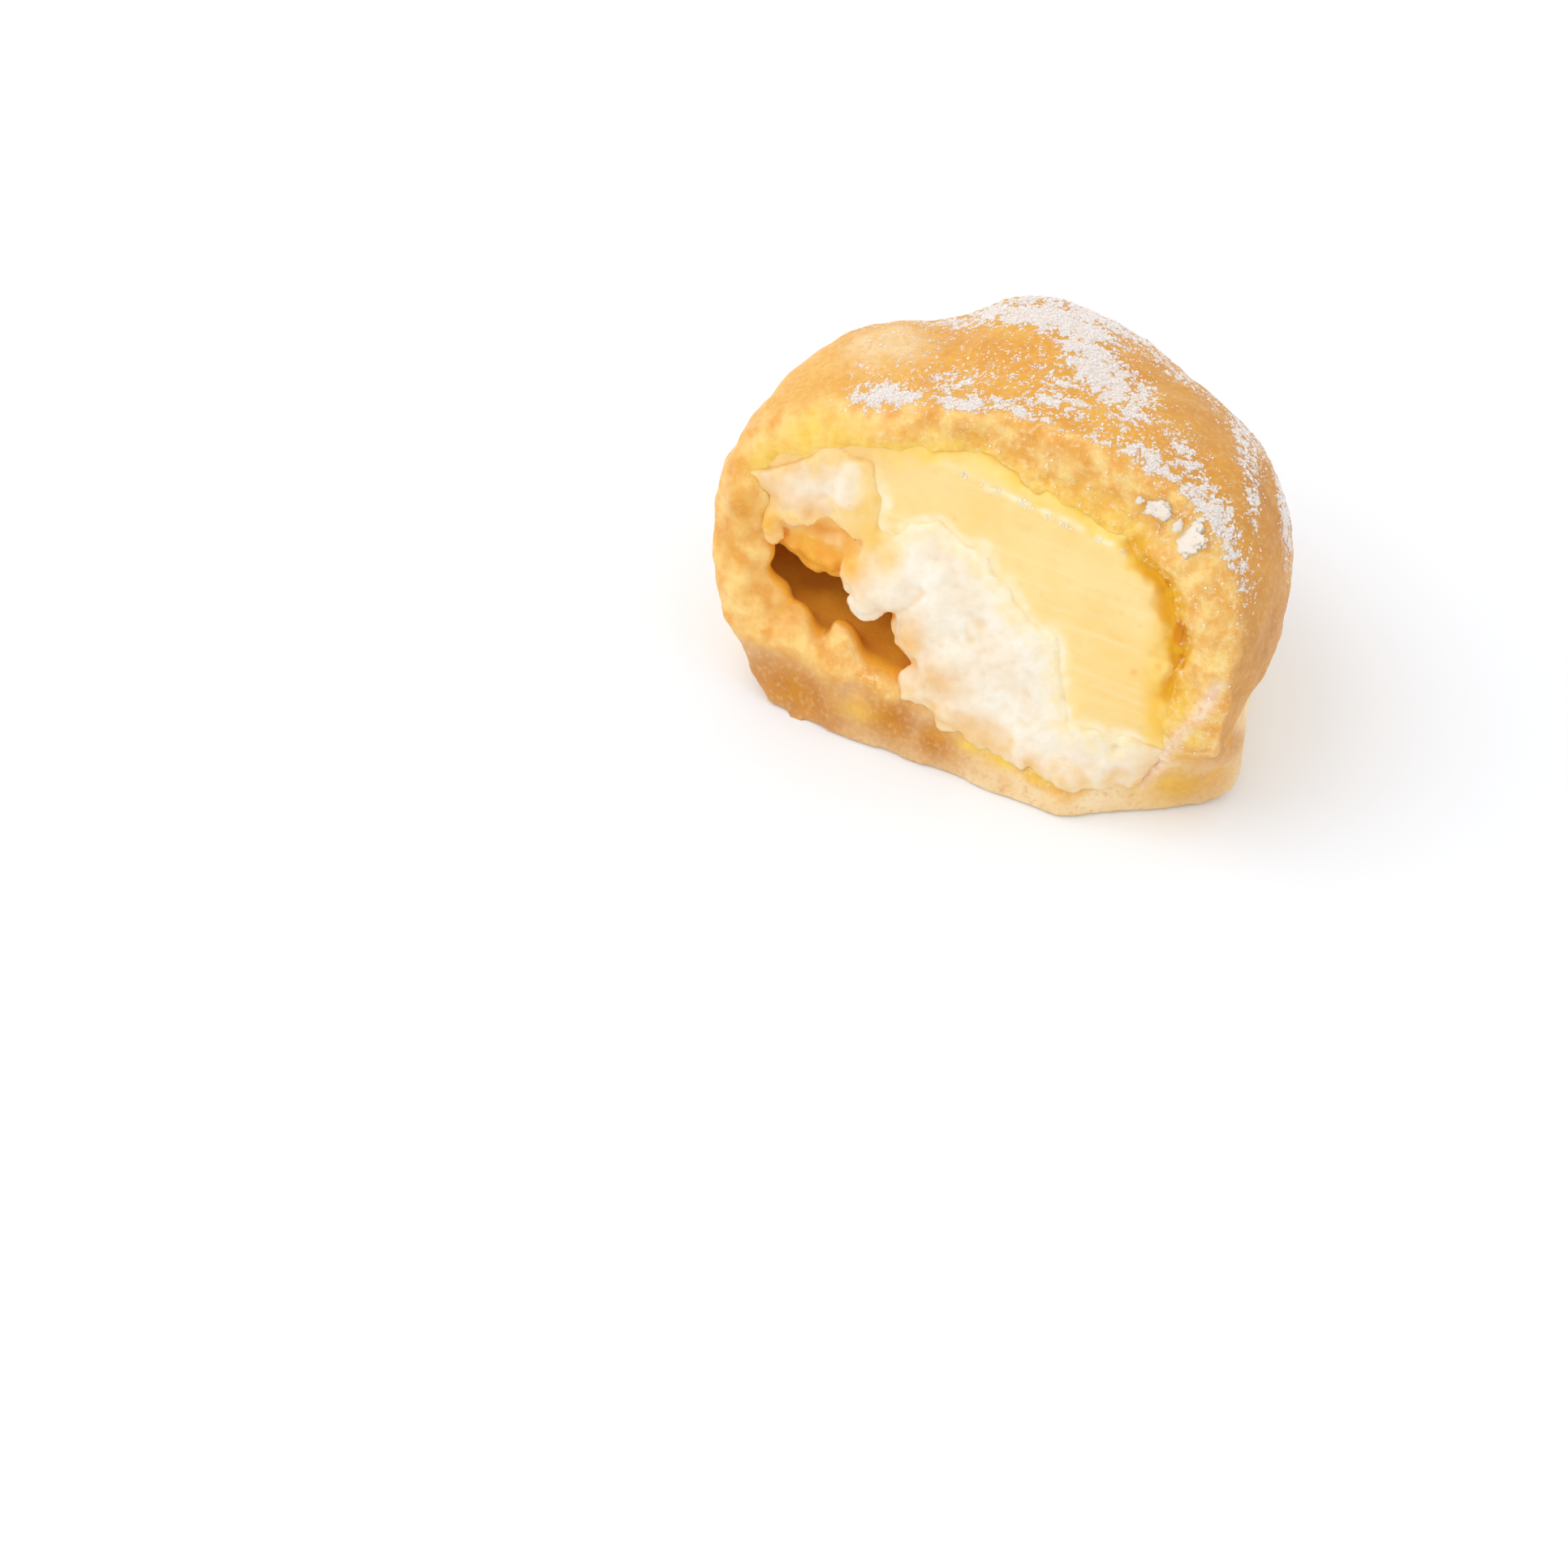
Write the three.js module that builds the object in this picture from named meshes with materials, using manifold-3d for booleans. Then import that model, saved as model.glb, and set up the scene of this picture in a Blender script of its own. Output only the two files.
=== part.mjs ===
// A cream-filled fritter that has been cut open: a browned dough shell round smooth custard
// and whipped cream, with an air pocket that the filling never reached.
// Millimetres, +Z up. The cut face looks along -Y and leans back, the dough rests on Z = 0,
// and the origin is the middle of the footprint.
import * as THREE from "three";
import { mergeVertices } from "three/addons/utils/BufferGeometryUtils.js";
import Module from "manifold-3d";

const wasm = await Module();
wasm.setup();

// ---- Driving dimensions -------------------------------------------------------------------
const BUN_RADIUS = 39.2; // at the widest level
const BUN_HEIGHT = 51.5;
const WIDEST_AT = 21; // height of the widest level
const SINK = 10; // the round underside would reach this far below the floor, so it rests flat
const DOME_FULLNESS = 2.6; // 2 is an ellipse, more is boxier
const BELLY_FULLNESS = 3;

const LIP_HEIGHT = 9; // where the browned dome ends over the pale base
const LIP_OVERHANG = 2.2;

const WALL = 5.4; // dough at the sides and top, before its thin patches
const FLOOR = 8.3; // dough underneath, at the middle
const FLOOR_TILT = 0.13; // it thins by this much for each millimetre to the right
const FIT = 0.3; // clearance between the pieces
const PROUD = 0.6; // how far the cream bulges out of the cut
const SHY = 0.4; // how far the custard lies behind it

const CUT_AT_FLOOR = -20.6; // Y of the cut where it meets the floor, from the bun's axis
const CUT_LEAN = 0.36; // how far the cut runs back for each millimetre of height
const CORNER_X = 20; // right of this the foot of the cut is broken away
const CORNER_TURN = 0.7;
const CORNER_HEIGHT = 20;

const RIDGE_HEIGHT = 42.8; // above this edge the custard's face slopes back to the roof
const RIDGE_FALL = 0.11; // the edge comes down by this much for each millimetre to the right
const RIDGE_SLOPE = 0.9;

// Top of the whipped cream along the cut, as points of X and height.
const LEFT_HEAP = [
  [-40, 29],
  [-32, 34],
  [-24, 38.5],
  [-17.6, 40],
];
const TONGUE = [
  [-16.4, 30], // a tongue of custard hangs down here
  [-12.6, 29],
];
const MIDDLE_HEAP = [
  [-7, 35.5],
  [0, 31.8],
  [6, 27.3],
  [14.5, 23.5],
  [16.5, 14],
  [24, 12.5],
  [40, 13.5],
];
const TONGUE_DEPTH = 9; // how far it reaches behind the cut

const POCKET = { x: -24.5, y: -14, z: 18, wide: 17.5, long: 26, high: 12 };
const POCKET_TILT = 0.25; // its roof climbs to the right
const POCKET_SPREAD = 0.75; // and its floor reaches further right the lower it is
const LOBE = { x: -12, z: 24.5, radius: 6 }; // cream that bulges into the pocket
const CREVICE_DEPTH = 4;
const CREVICES = [
  { x: 26, z: 40, wide: 2.2, long: 5, turn: 35 },
  { x: 30.6, z: 31.5, wide: 2.4, long: 7, turn: 8 },
];

// Grid cells: round the bun and down it, across and up a cut face, and over the cream.
const BUN_GRID = [60, 32];
const ROOM_GRID = [42, 22];
const FACE_GRID = [40, 22];
const CREAM_GRID = [50, 18];
const BEYOND = 110; // wider and deeper than the bun, for the blocks that cut it

// Soft patches on the round form, each seen from the bun's middle at an angle round Z from +X
// and an angle down from the top. Rise is how far the surface moves out, in the middle of it.
const SWELLINGS = [
  { turn: 202, fall: 38, spread: 27, rise: -4.5 }, // sunken shoulder left of the cut
  { turn: 183, fall: 78, spread: 30, rise: 3 }, // left lobe
  { turn: 158, fall: 50, spread: 15, rise: 2 }, // its top
  { turn: 102, fall: 44, spread: 20, rise: 2.8 }, // hump at the back of the top
  { turn: 130, fall: 60, spread: 10, rise: -1.4 }, // crease between them, in three steps
  { turn: 132, fall: 45, spread: 9, rise: -2.6 },
  { turn: 146, fall: 32, spread: 10, rise: -1.2 },
  { turn: 10, fall: 62, spread: 26, rise: 1.8 }, // full right side
  { turn: -11, fall: 112, spread: 12, rise: 5.5 }, // foot at the right end of the cut
  { turn: 100, fall: 85, spread: 24, rise: -1 }, // flat patch at the back
];
const THICKENINGS = [
  { turn: 195, fall: 50, spread: 44, rise: -3 }, // thin dough at the left
  { turn: 240, fall: 14, spread: 14, rise: -2 }, // thinnest above the tongue of custard
  { turn: -12, fall: 36, spread: 24, rise: 2.2 }, // thick dough over the ridge
  { turn: 0, fall: 75, spread: 32, rise: 1.2 }, // thick dough at the right
];

// ---- Small helpers ------------------------------------------------------------------------
const rad = THREE.MathUtils.degToRad;
const rises = THREE.MathUtils.smoothstep;
const bump = (x, middle, spread) => Math.exp(-(((x - middle) / spread) ** 2));

// A gentle, repeatable unevenness between about -1 and 1, with the given wavelength.
function uneven(x, y, z, wavelength, phase = 0) {
  const k = (2 * Math.PI) / wavelength;
  return (
    (Math.sin(k * (0.9 * x + 0.3 * z) + phase) +
      Math.sin(k * (0.8 * y - 0.5 * x) + 2.1 * phase + 1) +
      Math.sin(k * (0.7 * z + 0.6 * y - 0.4 * x) + 3.7 * phase + 2) +
      Math.sin(k * 1.7 * (0.6 * x - 0.5 * y + 0.5 * z) + 5.3 * phase)) /
    4
  );
}

// The height of an outline, a list of [x, height] points, at an x.
function heightAlong(outline, x) {
  const next = outline.findIndex(([px]) => px >= x);
  if (next === 0) return outline[0][1];
  if (next < 0) return outline.at(-1)[1];
  const [x0, h0] = outline[next - 1];
  const [x1, h1] = outline[next];
  return THREE.MathUtils.mapLinear(x, x0, x1, h0, h1);
}

// The direction at an angle round Z from +X and an angle down from the top.
function direction(turn, fall) {
  const ring = Math.sin(rad(fall));
  return new THREE.Vector3(
    ring * Math.cos(rad(turn)),
    ring * Math.sin(rad(turn)),
    Math.cos(rad(fall)),
  );
}

// How far the soft patches in a list move the surface in a direction.
function patchesRise(patches, towards) {
  let rise = 0;
  for (const patch of patches) {
    const apart = towards.angleTo(direction(patch.turn, patch.fall));
    rise += patch.rise * bump(apart, 0, rad(patch.spread));
  }
  return rise;
}

// Moves every vertex of a geometry by a function that changes a Vector3.
function reshape(geometry, change) {
  const place = geometry.getAttribute("position");
  const point = new THREE.Vector3();
  for (let i = 0; i < place.count; i += 1) {
    point.fromBufferAttribute(place, i);
    change(point);
    place.setXYZ(i, point.x, point.y, point.z);
  }
  return geometry;
}

// A closed geometry as a solid that can be joined and cut.
function solidOf(geometry) {
  const bare = geometry.clone();
  bare.deleteAttribute("normal");
  bare.deleteAttribute("uv");
  const merged = mergeVertices(bare, 1e-3);
  return new wasm.Manifold(
    new wasm.Mesh({
      numProp: 3,
      vertProperties: merged.getAttribute("position").array,
      triVerts: new Uint32Array(merged.index.array),
    }),
  );
}

function geometryOf(solid) {
  const mesh = solid.getMesh();
  const place = new Float32Array(mesh.numVert * 3);
  for (let i = 0; i < mesh.numVert; i += 1) {
    const from = i * mesh.numProp;
    place.set(mesh.vertProperties.subarray(from, from + 3), i * 3);
  }
  const indexed = new THREE.BufferGeometry()
    .setAttribute("position", new THREE.BufferAttribute(place, 3))
    .setIndex(new THREE.BufferAttribute(mesh.triVerts, 1));
  const faceted = indexed.toNonIndexed();
  faceted.computeVertexNormals();
  return faceted;
}

// ---- The bun ------------------------------------------------------------------------------
const MIDDLE = new THREE.Vector3(0, 0, WIDEST_AT);

// Moves a point along its ray from the bun's middle.
function pushOut(p, by) {
  const ray = p.clone().sub(MIDDLE);
  p.copy(ray.setLength(ray.length() + by).add(MIDDLE));
}

// The lip is high at the right and runs down to the floor beside the cut's broken corner.
function lipHeight(turn) {
  return LIP_HEIGHT + 8 * bump(turn, 0, 22) - 6 * bump(turn, -45, 14);
}

// Moves a point of the unit sphere to the bun's skin.
function toSkin(p) {
  const turn = THREE.MathUtils.radToDeg(Math.atan2(p.y, p.x));
  const above = p.z > 0;
  const power = 2 / (above ? DOME_FULLNESS : BELLY_FULLNESS);
  const reach = above ? BUN_HEIGHT - WIDEST_AT : -WIDEST_AT - SINK;
  const ring = Math.hypot(p.x, p.y);
  const out = BUN_RADIUS * Math.max(ring, 1e-6) ** (power - 1);
  p.set(p.x * out, p.y * out, WIDEST_AT + reach * Math.abs(p.z) ** power);
  const towards = p.clone().sub(MIDDLE);
  pushOut(p, patchesRise(SWELLINGS, towards) + 0.7 * uneven(p.x, p.y, p.z, 34, 0.4));
  const lip = lipHeight(turn);
  const under = LIP_OVERHANG * (1 - rises(p.z, lip - 1.5, lip + 1.5));
  const inwards = Math.max(0, 1 - under / Math.hypot(p.x, p.y));
  p.multiply(new THREE.Vector3(inwards, inwards, 1));
}

function skinForm() {
  const form = new THREE.SphereGeometry(1, ...BUN_GRID).rotateX(Math.PI / 2);
  return reshape(form, (p) => {
    toSkin(p);
    p.z = Math.max(p.z, 0);
  });
}

// The room inside the dough, shrunk all round by spare.
function roomForm(spare) {
  const form = new THREE.SphereGeometry(1, ...ROOM_GRID).rotateX(Math.PI / 2);
  return reshape(form, (p) => {
    toSkin(p);
    const towards = p.clone().sub(MIDDLE);
    pushOut(p, -WALL - patchesRise(THICKENINGS, towards) - spare);
    p.z = Math.max(p.z, FLOOR - FLOOR_TILT * p.x + spare);
  });
}

// ---- The cut ------------------------------------------------------------------------------
function cutY(x, z) {
  const past = Math.max(0, x - CORNER_X) * (1 - rises(z, 3, CORNER_HEIGHT));
  return CUT_AT_FLOOR + CUT_LEAN * z + CORNER_TURN * past;
}

// A block in front of the cut: its back is a cut face, whose Y is given by faceAt(x, z).
function frontBlock(faceAt) {
  const [across, up] = FACE_GRID;
  const block = new THREE.BoxGeometry(BEYOND, 2, 70, across, 1, up);
  block.translate(0, 0, 30);
  return solidOf(
    reshape(block, (p) => {
      p.y = p.y < 0 ? -BEYOND : faceAt(p.x, p.z);
    }),
  );
}

const ridgeHeight = (x) => RIDGE_HEIGHT - RIDGE_FALL * x;

// ---- The fillings -------------------------------------------------------------------------
// Height of the whipped cream's top over the bun's plan. Behind the tongue of custard the two
// heaps run together.
function creamTop(x, y) {
  const front = heightAlong([...LEFT_HEAP, ...TONGUE, ...MIDDLE_HEAP], x);
  const behind = heightAlong([...LEFT_HEAP, ...MIDDLE_HEAP], x);
  const depth = y - cutY(x, front);
  const hidden = rises(depth, 0.5 * TONGUE_DEPTH, TONGUE_DEPTH);
  return THREE.MathUtils.lerp(front, behind, hidden) + 0.7 * uneven(x, y, 0, 13, 0.7);
}

// Everything below the cream's top, raised by spare.
function creamBlock(spare) {
  const block = new THREE.BoxGeometry(BEYOND, BEYOND, BEYOND, ...CREAM_GRID, 1);
  return solidOf(
    reshape(block, (p) => {
      p.z = p.z < 0 ? -BEYOND : creamTop(p.x, p.y) + spare;
    }),
  );
}

// The pocket at the left that the filling never reached, with a lobe of cream in its way.
function airPocket() {
  const { x, y, z, wide, long, high } = POCKET;
  const ball = new THREE.SphereGeometry(1, 24, 16).rotateX(Math.PI / 2);
  reshape(ball, (p) => {
    const raised = p.z > 0 ? POCKET_TILT * wide * p.x * p.z : 0;
    p.multiply(new THREE.Vector3(wide, long, high));
    p.x += POCKET_SPREAD * Math.max(0, -p.z);
    p.z += raised;
    p.add(new THREE.Vector3(x, y, z));
    p.x += 1.3 * uneven(p.x, p.y, p.z, 11, 1.3);
    p.z += 0.7 * uneven(p.x, p.y, p.z, 12, 2.9);
  });
  const lobe = new THREE.SphereGeometry(LOBE.radius, 14, 10);
  lobe.translate(LOBE.x, cutY(LOBE.x, LOBE.z) + 0.6 * LOBE.radius, LOBE.z);
  return solidOf(ball).subtract(solidOf(lobe));
}

// A narrow gap between the custard and the dough, open at the cut.
function crevice({ x, z, wide, long, turn }) {
  const slit = new THREE.SphereGeometry(1, 10, 8);
  slit.scale(wide / 2, CREVICE_DEPTH, long / 2).rotateY(rad(-turn));
  slit.translate(x, cutY(x, z), z);
  return solidOf(slit);
}

// ---- Build --------------------------------------------------------------------------------
const shell = solidOf(skinForm())
  .subtract(solidOf(roomForm(0)))
  .subtract(frontBlock((x, z) => cutY(x, z) + 0.5 * uneven(x, 0, z, 11)));
const filling = solidOf(roomForm(FIT)).subtract(airPocket());
const cream = filling
  .intersect(creamBlock(0))
  .subtract(frontBlock((x, z) => cutY(x, z) - PROUD + 0.9 * uneven(x, 0, z, 9, 2)));
let custard = filling
  .subtract(creamBlock(FIT))
  .subtract(
    frontBlock(
      (x, z) => cutY(x, z) + SHY + RIDGE_SLOPE * Math.max(0, z - ridgeHeight(x)),
    ),
  );
for (const gap of CREVICES) custard = custard.subtract(crevice(gap));

const fritter = new THREE.Group();
function add(name, solid, color, roughness) {
  const look = new THREE.MeshStandardMaterial({ color, roughness });
  const mesh = new THREE.Mesh(geometryOf(solid), look);
  mesh.name = name;
  fritter.add(mesh);
}
add("dough_shell", shell, 0xe3a552, 0.6);
add("custard", custard, 0xf9dc92, 0.4);
add("whipped_cream", cream, 0xf7ede0, 0.6);

const footprint = new THREE.Box3().setFromObject(fritter).getCenter(new THREE.Vector3());
for (const mesh of fritter.children) {
  mesh.geometry.translate(-footprint.x, -footprint.y, 0);
}

export default fritter;
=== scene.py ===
# %% [markdown]
# # A cream-filled fritter, cut open
# A ball of sweet dough, fried until it is golden, filled with smooth custard and whipped cream,
# dusted with icing sugar, and cut through while the filling is cold and firm.
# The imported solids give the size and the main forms. Each gets a finer copy here, which is carved
# and coloured, and then comes what lies on it: sugar, its flakes and some crumbs.
# Lengths are in millimetres, and MM turns them into the metres that Blender works in.

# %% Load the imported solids
import math
import random

import bmesh
import bpy
import numpy as np
from mathutils import Matrix, Vector, geometry, noise
from mathutils.bvhtree import BVHTree


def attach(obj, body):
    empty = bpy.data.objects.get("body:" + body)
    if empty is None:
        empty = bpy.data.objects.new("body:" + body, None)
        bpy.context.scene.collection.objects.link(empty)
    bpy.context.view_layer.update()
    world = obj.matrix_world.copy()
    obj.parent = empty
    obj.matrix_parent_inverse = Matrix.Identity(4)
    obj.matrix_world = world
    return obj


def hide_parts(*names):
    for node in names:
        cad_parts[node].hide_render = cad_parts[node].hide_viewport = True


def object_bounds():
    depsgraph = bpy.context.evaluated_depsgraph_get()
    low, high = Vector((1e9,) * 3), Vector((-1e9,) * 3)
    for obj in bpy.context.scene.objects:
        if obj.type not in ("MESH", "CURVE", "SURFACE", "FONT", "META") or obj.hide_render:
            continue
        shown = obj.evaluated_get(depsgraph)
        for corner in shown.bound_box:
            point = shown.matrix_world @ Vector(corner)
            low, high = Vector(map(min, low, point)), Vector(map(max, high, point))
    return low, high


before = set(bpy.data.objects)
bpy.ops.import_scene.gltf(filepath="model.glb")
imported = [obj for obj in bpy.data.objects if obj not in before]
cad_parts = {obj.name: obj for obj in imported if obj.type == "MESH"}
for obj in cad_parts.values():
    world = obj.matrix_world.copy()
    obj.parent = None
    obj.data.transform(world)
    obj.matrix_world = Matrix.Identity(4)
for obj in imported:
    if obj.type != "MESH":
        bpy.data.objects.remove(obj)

MM = 0.001
cad_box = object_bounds()
CENTRE = (cad_box[0] + cad_box[1]) / 2
print("the solids measure", [round(side / MM, 1) for side in cad_box[1] - cad_box[0]], "mm")

# %% [markdown]
# ## Where things are on the fritter
# A dome has no corners to measure from, so places are given in one of four ways: in plan, as seen
# from above; by X and Z on the cut; by their depth behind the cut; or by two angles from the middle
# of the bun, the turn round it from +X and the fall from its top. Soft patches are a place, a
# spread and an amount.

# %% The cut, the middle of the bun and the lip
MIDDLE = Vector((0.8, -8.8, 21))  # millimetres, on the bun's axis at its widest level
CUT_FOOT = -29.4  # Y of the cut where it meets the floor
CUT_LEAN = 0.36  # how far it runs back for each millimetre of height
CORNER_X, CORNER_TURN = 20.8, 0.7  # right of this X the broken corner runs back as well
CORNER_LOW, CORNER_HIGH = 3, 20  # heights between which it fades
CUT_NORMAL = Vector((0, -1, CUT_LEAN)).normalized()
RIDGE_HEIGHT, RIDGE_FALL = 42.8, 0.11  # over this edge the custard slopes back; it falls to the right


def rises(x, low, high):
    """0 below low and 1 above high, or the other way round where low is the greater."""
    t = min(1, max(0, (x - low) / (high - low)))
    return t * t * (3.0 - 2.0 * t)


def bump(x, middle, spread):
    return math.exp(-(((x - middle) / spread) ** 2))


def mix(a, b, share):
    return a + (b - a) * share


def cut_y(x, z):
    """Y of the cut at a place on it."""
    past = max(0, x - CORNER_X) * (1.0 - rises(z, CORNER_LOW, CORNER_HIGH))
    return CUT_FOOT + CUT_LEAN * z + CORNER_TURN * past


def cut_depth(p):
    """How far a place lies behind the cut, along Y."""
    return p.y - cut_y(p.x, p.z)


def on_cut(x, z, depth=0):
    """The place on the cut, or at a depth behind it, in millimetres."""
    return Vector((x, cut_y(x, z), z)) - CUT_NORMAL * depth


def over_ridge(p):
    """How far a place lies over the edge where the custard slopes back."""
    return p.z - RIDGE_HEIGHT + RIDGE_FALL * p.x


def direction(turn, fall):
    """The direction at an angle round Z from +X and an angle down from the top."""
    turn, fall = math.radians(turn), math.radians(fall)
    return Vector((math.sin(fall) * math.cos(turn), math.sin(fall) * math.sin(turn), math.cos(fall)))


def soft_patches(patches, p):
    """The greatest of some patches, (turn, fall, spread, amount), at a place."""
    towards = (p - MIDDLE).normalized()
    return max(amount * bump(math.degrees(towards.angle(direction(turn, fall))), 0, spread)
               for turn, fall, spread, amount in patches)


def by_cut(p):
    """1 near the cut, 0 far behind it."""
    return 1.0 - rises(cut_depth(p), 4, 9)


def spots(p, places):
    """The greatest of some spots on the cut, (X, Z, reach in X, reach in Z, amount)."""
    return by_cut(p) * max(amount * bump(p.x, x, wide) * bump(p.z, z, high)
                           for x, z, wide, high, amount in places)


def lip_height(p):
    """Height of the lip, where the browned dome ends over the pale base."""
    turn = math.degrees(math.atan2(p.y - MIDDLE.y, p.x - MIDDLE.x))
    return 9.0 + 8.0 * bump(turn, 0, 22) - 6.0 * bump(turn, -45, 14)


def uneven(p, size, seed):
    """Smooth noise between about -1 and 1, with lumps about size millimetres apart."""
    return noise.noise(p / size + Vector((seed, 1.7 * seed, 2.3 * seed))) * 1.5


def puffs(p, size, seed):
    """Round lumps with creases between them, from 0 in a crease to 1 on top."""
    near = noise.voronoi(p / size + Vector((seed, 1.7 * seed, 2.3 * seed)))[0][0]
    return max(0, 1.0 - near * near)


# %% [markdown]
# ## From a faceted solid to a surface that can be carved
# A voxel remesh lays a form in a grid of small cubes and wraps it in even faces, whatever the old
# ones were, and smoothing melts the facets away. Each vertex then moves by some millimetres, which
# is real relief: it shows in the outline. Where that leaves stretched faces, the form is wrapped
# once more.

# %% New objects
def new_object(name, data):
    made = bpy.data.objects.new(name, data)
    bpy.context.scene.collection.objects.link(made)
    return made


def new_piece(name, bm, material=None):
    """An object with a form for its mesh."""
    mesh = bpy.data.meshes.new(name)
    bm.to_mesh(mesh)
    bm.free()
    if material:
        mesh.materials.append(material)
    print(name, "starts with", len(mesh.polygons), "faces")
    return new_object(name, mesh)


def add_ball(bm, middle, radius, detail, *changes):
    """Adds a ball to a form, in metres. changes are matrices that turn or squash it."""
    place = Matrix.Translation(middle)
    for change in changes:
        place = place @ change
    bmesh.ops.create_icosphere(bm, subdivisions=detail, radius=radius, matrix=place)


# %% Finer copies and carving
SAME_CORNER = 0.005 * MM  # corners closer than this are one
WALL_DEPTH = 1.2  # how far behind the cut the side walls are measured


def melt(piece, voxel, smoothings):
    """Wraps a piece in even faces of about one voxel, in millimetres, and smooths it."""
    even = piece.modifiers.new("Even faces", "REMESH")
    even.mode = "VOXEL"
    even.voxel_size = voxel * MM
    soft = piece.modifiers.new("Soft facets", "SMOOTH")
    soft.factor = 0.5
    soft.iterations = smoothings
    shown = piece.evaluated_get(bpy.context.evaluated_depsgraph_get())
    mesh = bpy.data.meshes.new_from_object(shown)
    piece.modifiers.clear()
    piece.data = mesh
    mesh.name = piece.name


def finer_copy(node, name, voxel, smoothings, additions=None):
    """A new object with a solid's form in even faces. additions may add lumps to it first."""
    bm = bmesh.new()
    bm.from_mesh(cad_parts[node].data)
    bmesh.ops.remove_doubles(bm, verts=bm.verts, dist=SAME_CORNER)
    if additions:
        additions(bm)
    piece = new_piece(name, bm)
    melt(piece, voxel, smoothings)
    return piece


def sink_balls(bm, faces, count, radii, sunk, dice):
    """Sinks balls into some faces of a form. radii are the least, the most and the usual one, and
    sunk is the least and the most of a radius that lies under the surface."""
    for f in dice.choices(faces, weights=[f.calc_area() for f in faces], k=count):
        a, b, c = (v.co for v in f.verts[:3])
        u, v = sorted((dice.random(), dice.random()))
        radius = dice.triangular(*radii) * MM
        middle = a * u + b * (v - u) + c * (1.0 - v) - f.normal * radius * dice.uniform(*sunk)
        squash = Matrix.Diagonal((dice.uniform(0.9, 1.4), 1, dice.uniform(0.8, 1.1), 1))
        tilt = Matrix.Rotation(dice.uniform(0, math.pi), 4, CUT_NORMAL)
        add_ball(bm, middle, radius, 2, tilt, squash)


def all_places(piece):
    """The places of all vertices, in millimetres, and their normals."""
    places = [v.co / MM for v in piece.data.vertices]
    return places, [n.vector.copy() for n in piece.data.vertex_normals]


def carve(piece, moves):
    """Moves every vertex by its own move in millimetres."""
    moved = [p + move for p, move in zip(all_places(piece)[0], moves)]
    piece.data.vertices.foreach_set("co", np.array(moved, dtype=np.float32).ravel() * MM)
    piece.data.update()
    print(piece.name, "carved,", len(moved), "vertices")


def on_each(piece, value):
    """value(place, normal) for every vertex."""
    return [value(p, n) for p, n in zip(*all_places(piece))]


def tree_of(piece):
    mesh = piece.data
    return BVHTree.FromPolygons([v.co for v in mesh.vertices], [f.vertices for f in mesh.polygons])


def solid_tree(node):
    """A tree to measure from a solid, of even faces, whose normals can be trusted."""
    probe = finer_copy(node, "probe", voxel=0.5, smoothings=0)
    tree = tree_of(probe)
    bpy.data.objects.remove(probe)
    return tree


def in_front(p):
    """How far a place stands out of the cut."""
    return max(0, cut_depth(p) * CUT_NORMAL.y)


def beyond(tree, p):
    """How far a place on the cut lies outside a solid's own part of it, measured a little way
    behind the cut, where only the side walls are near. It is below 0 inside."""
    behind = p - CUT_NORMAL * (WALL_DEPTH + cut_depth(p) * CUT_NORMAL.y)
    near, normal, _, far = tree.find_nearest(behind * MM)
    return math.copysign(far / MM, (behind * MM - near).dot(normal))


BITES = ((18.4, 18, 2, 3, 1.6), (12.6, 27, 1.4, 1.6, 0.8))  # X, Z, reaches: custard over the cream


def wandering(p):
    """How far the cream's border with the custard wanders: over to the custard above 0."""
    return 0.8 * uneven(p, 3.6, 50) + 0.6 * uneven(p, 1.5, 51) - spots(p, BITES)


def sideways(p, n):
    """The way to swell: along the cut where it is near, so that no rim stands out."""
    level = n - CUT_NORMAL * n.dot(CUT_NORMAL)
    return n.lerp(level, 1.0 - rises(cut_depth(p), 1, 3))


def off_line(here, line):
    """The distance of a place from a line through some points."""
    far = 99.0
    for start, end in zip(line, line[1:]):
        start, end = Vector(start), Vector(end)
        share = geometry.intersect_point_line(here, start, end)[1]
        far = min(far, (here - start.lerp(end, min(1, max(0, share)))).length)
    return far


def numbers(items, name, width, kind=np.float32):
    """A property of every item of a mesh, as rows of so many numbers."""
    found = np.empty(len(items) * width, dtype=kind)
    items.foreach_get(name, found)
    return found.reshape(-1, width)


def sunken(piece, rounds=12, low=0.03, high=0.30):
    """0 to 1 on each vertex, by how far it lies below the surface round it: where shade is painted into the
    creases.
    """
    ends = numbers(piece.data.edges, "vertices", 2, np.int32)
    one, other = ends.T
    places, normals = (np.array(found) for found in all_places(piece))
    neighbours = np.bincount(ends.ravel(), minlength=len(places))[:, None]
    smooth = places
    for _ in range(rounds):
        total = np.zeros_like(smooth)
        np.add.at(total, one, smooth[other])
        np.add.at(total, other, smooth[one])
        smooth = total / neighbours
    depth = ((smooth - places) * normals).sum(axis=1)
    print(piece.name, "creases, mm:", np.percentile(depth, (1, 25, 50, 75, 90, 99)).round(2))
    return ((depth - low) / (high - low)).clip(0, 1)


def paint(piece, name, values):
    """Stores a number on every vertex, for a material to read."""
    layer = piece.data.attributes.new(name, "FLOAT", "POINT")
    layer.data.foreach_set("value", values)


def paint_masks(piece, creases, **masks):
    """Paints each mask, a function of place and normal, and last the painted shade of the creases, by its
    share.
    """
    for name, mask in masks.items():
        paint(piece, name, on_each(piece, mask))
    paint(piece, "sunken", creases * sunken(piece))


# %% [markdown]
# ## The crust
# Fried dough has a thin, moist, golden skin with blisters, and below its lip a paler base that
# never touched the hot fat. At the cut the soft crumb tears, so there it is lumpy and wet. One
# height function holds all three, and blends them by place.

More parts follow.
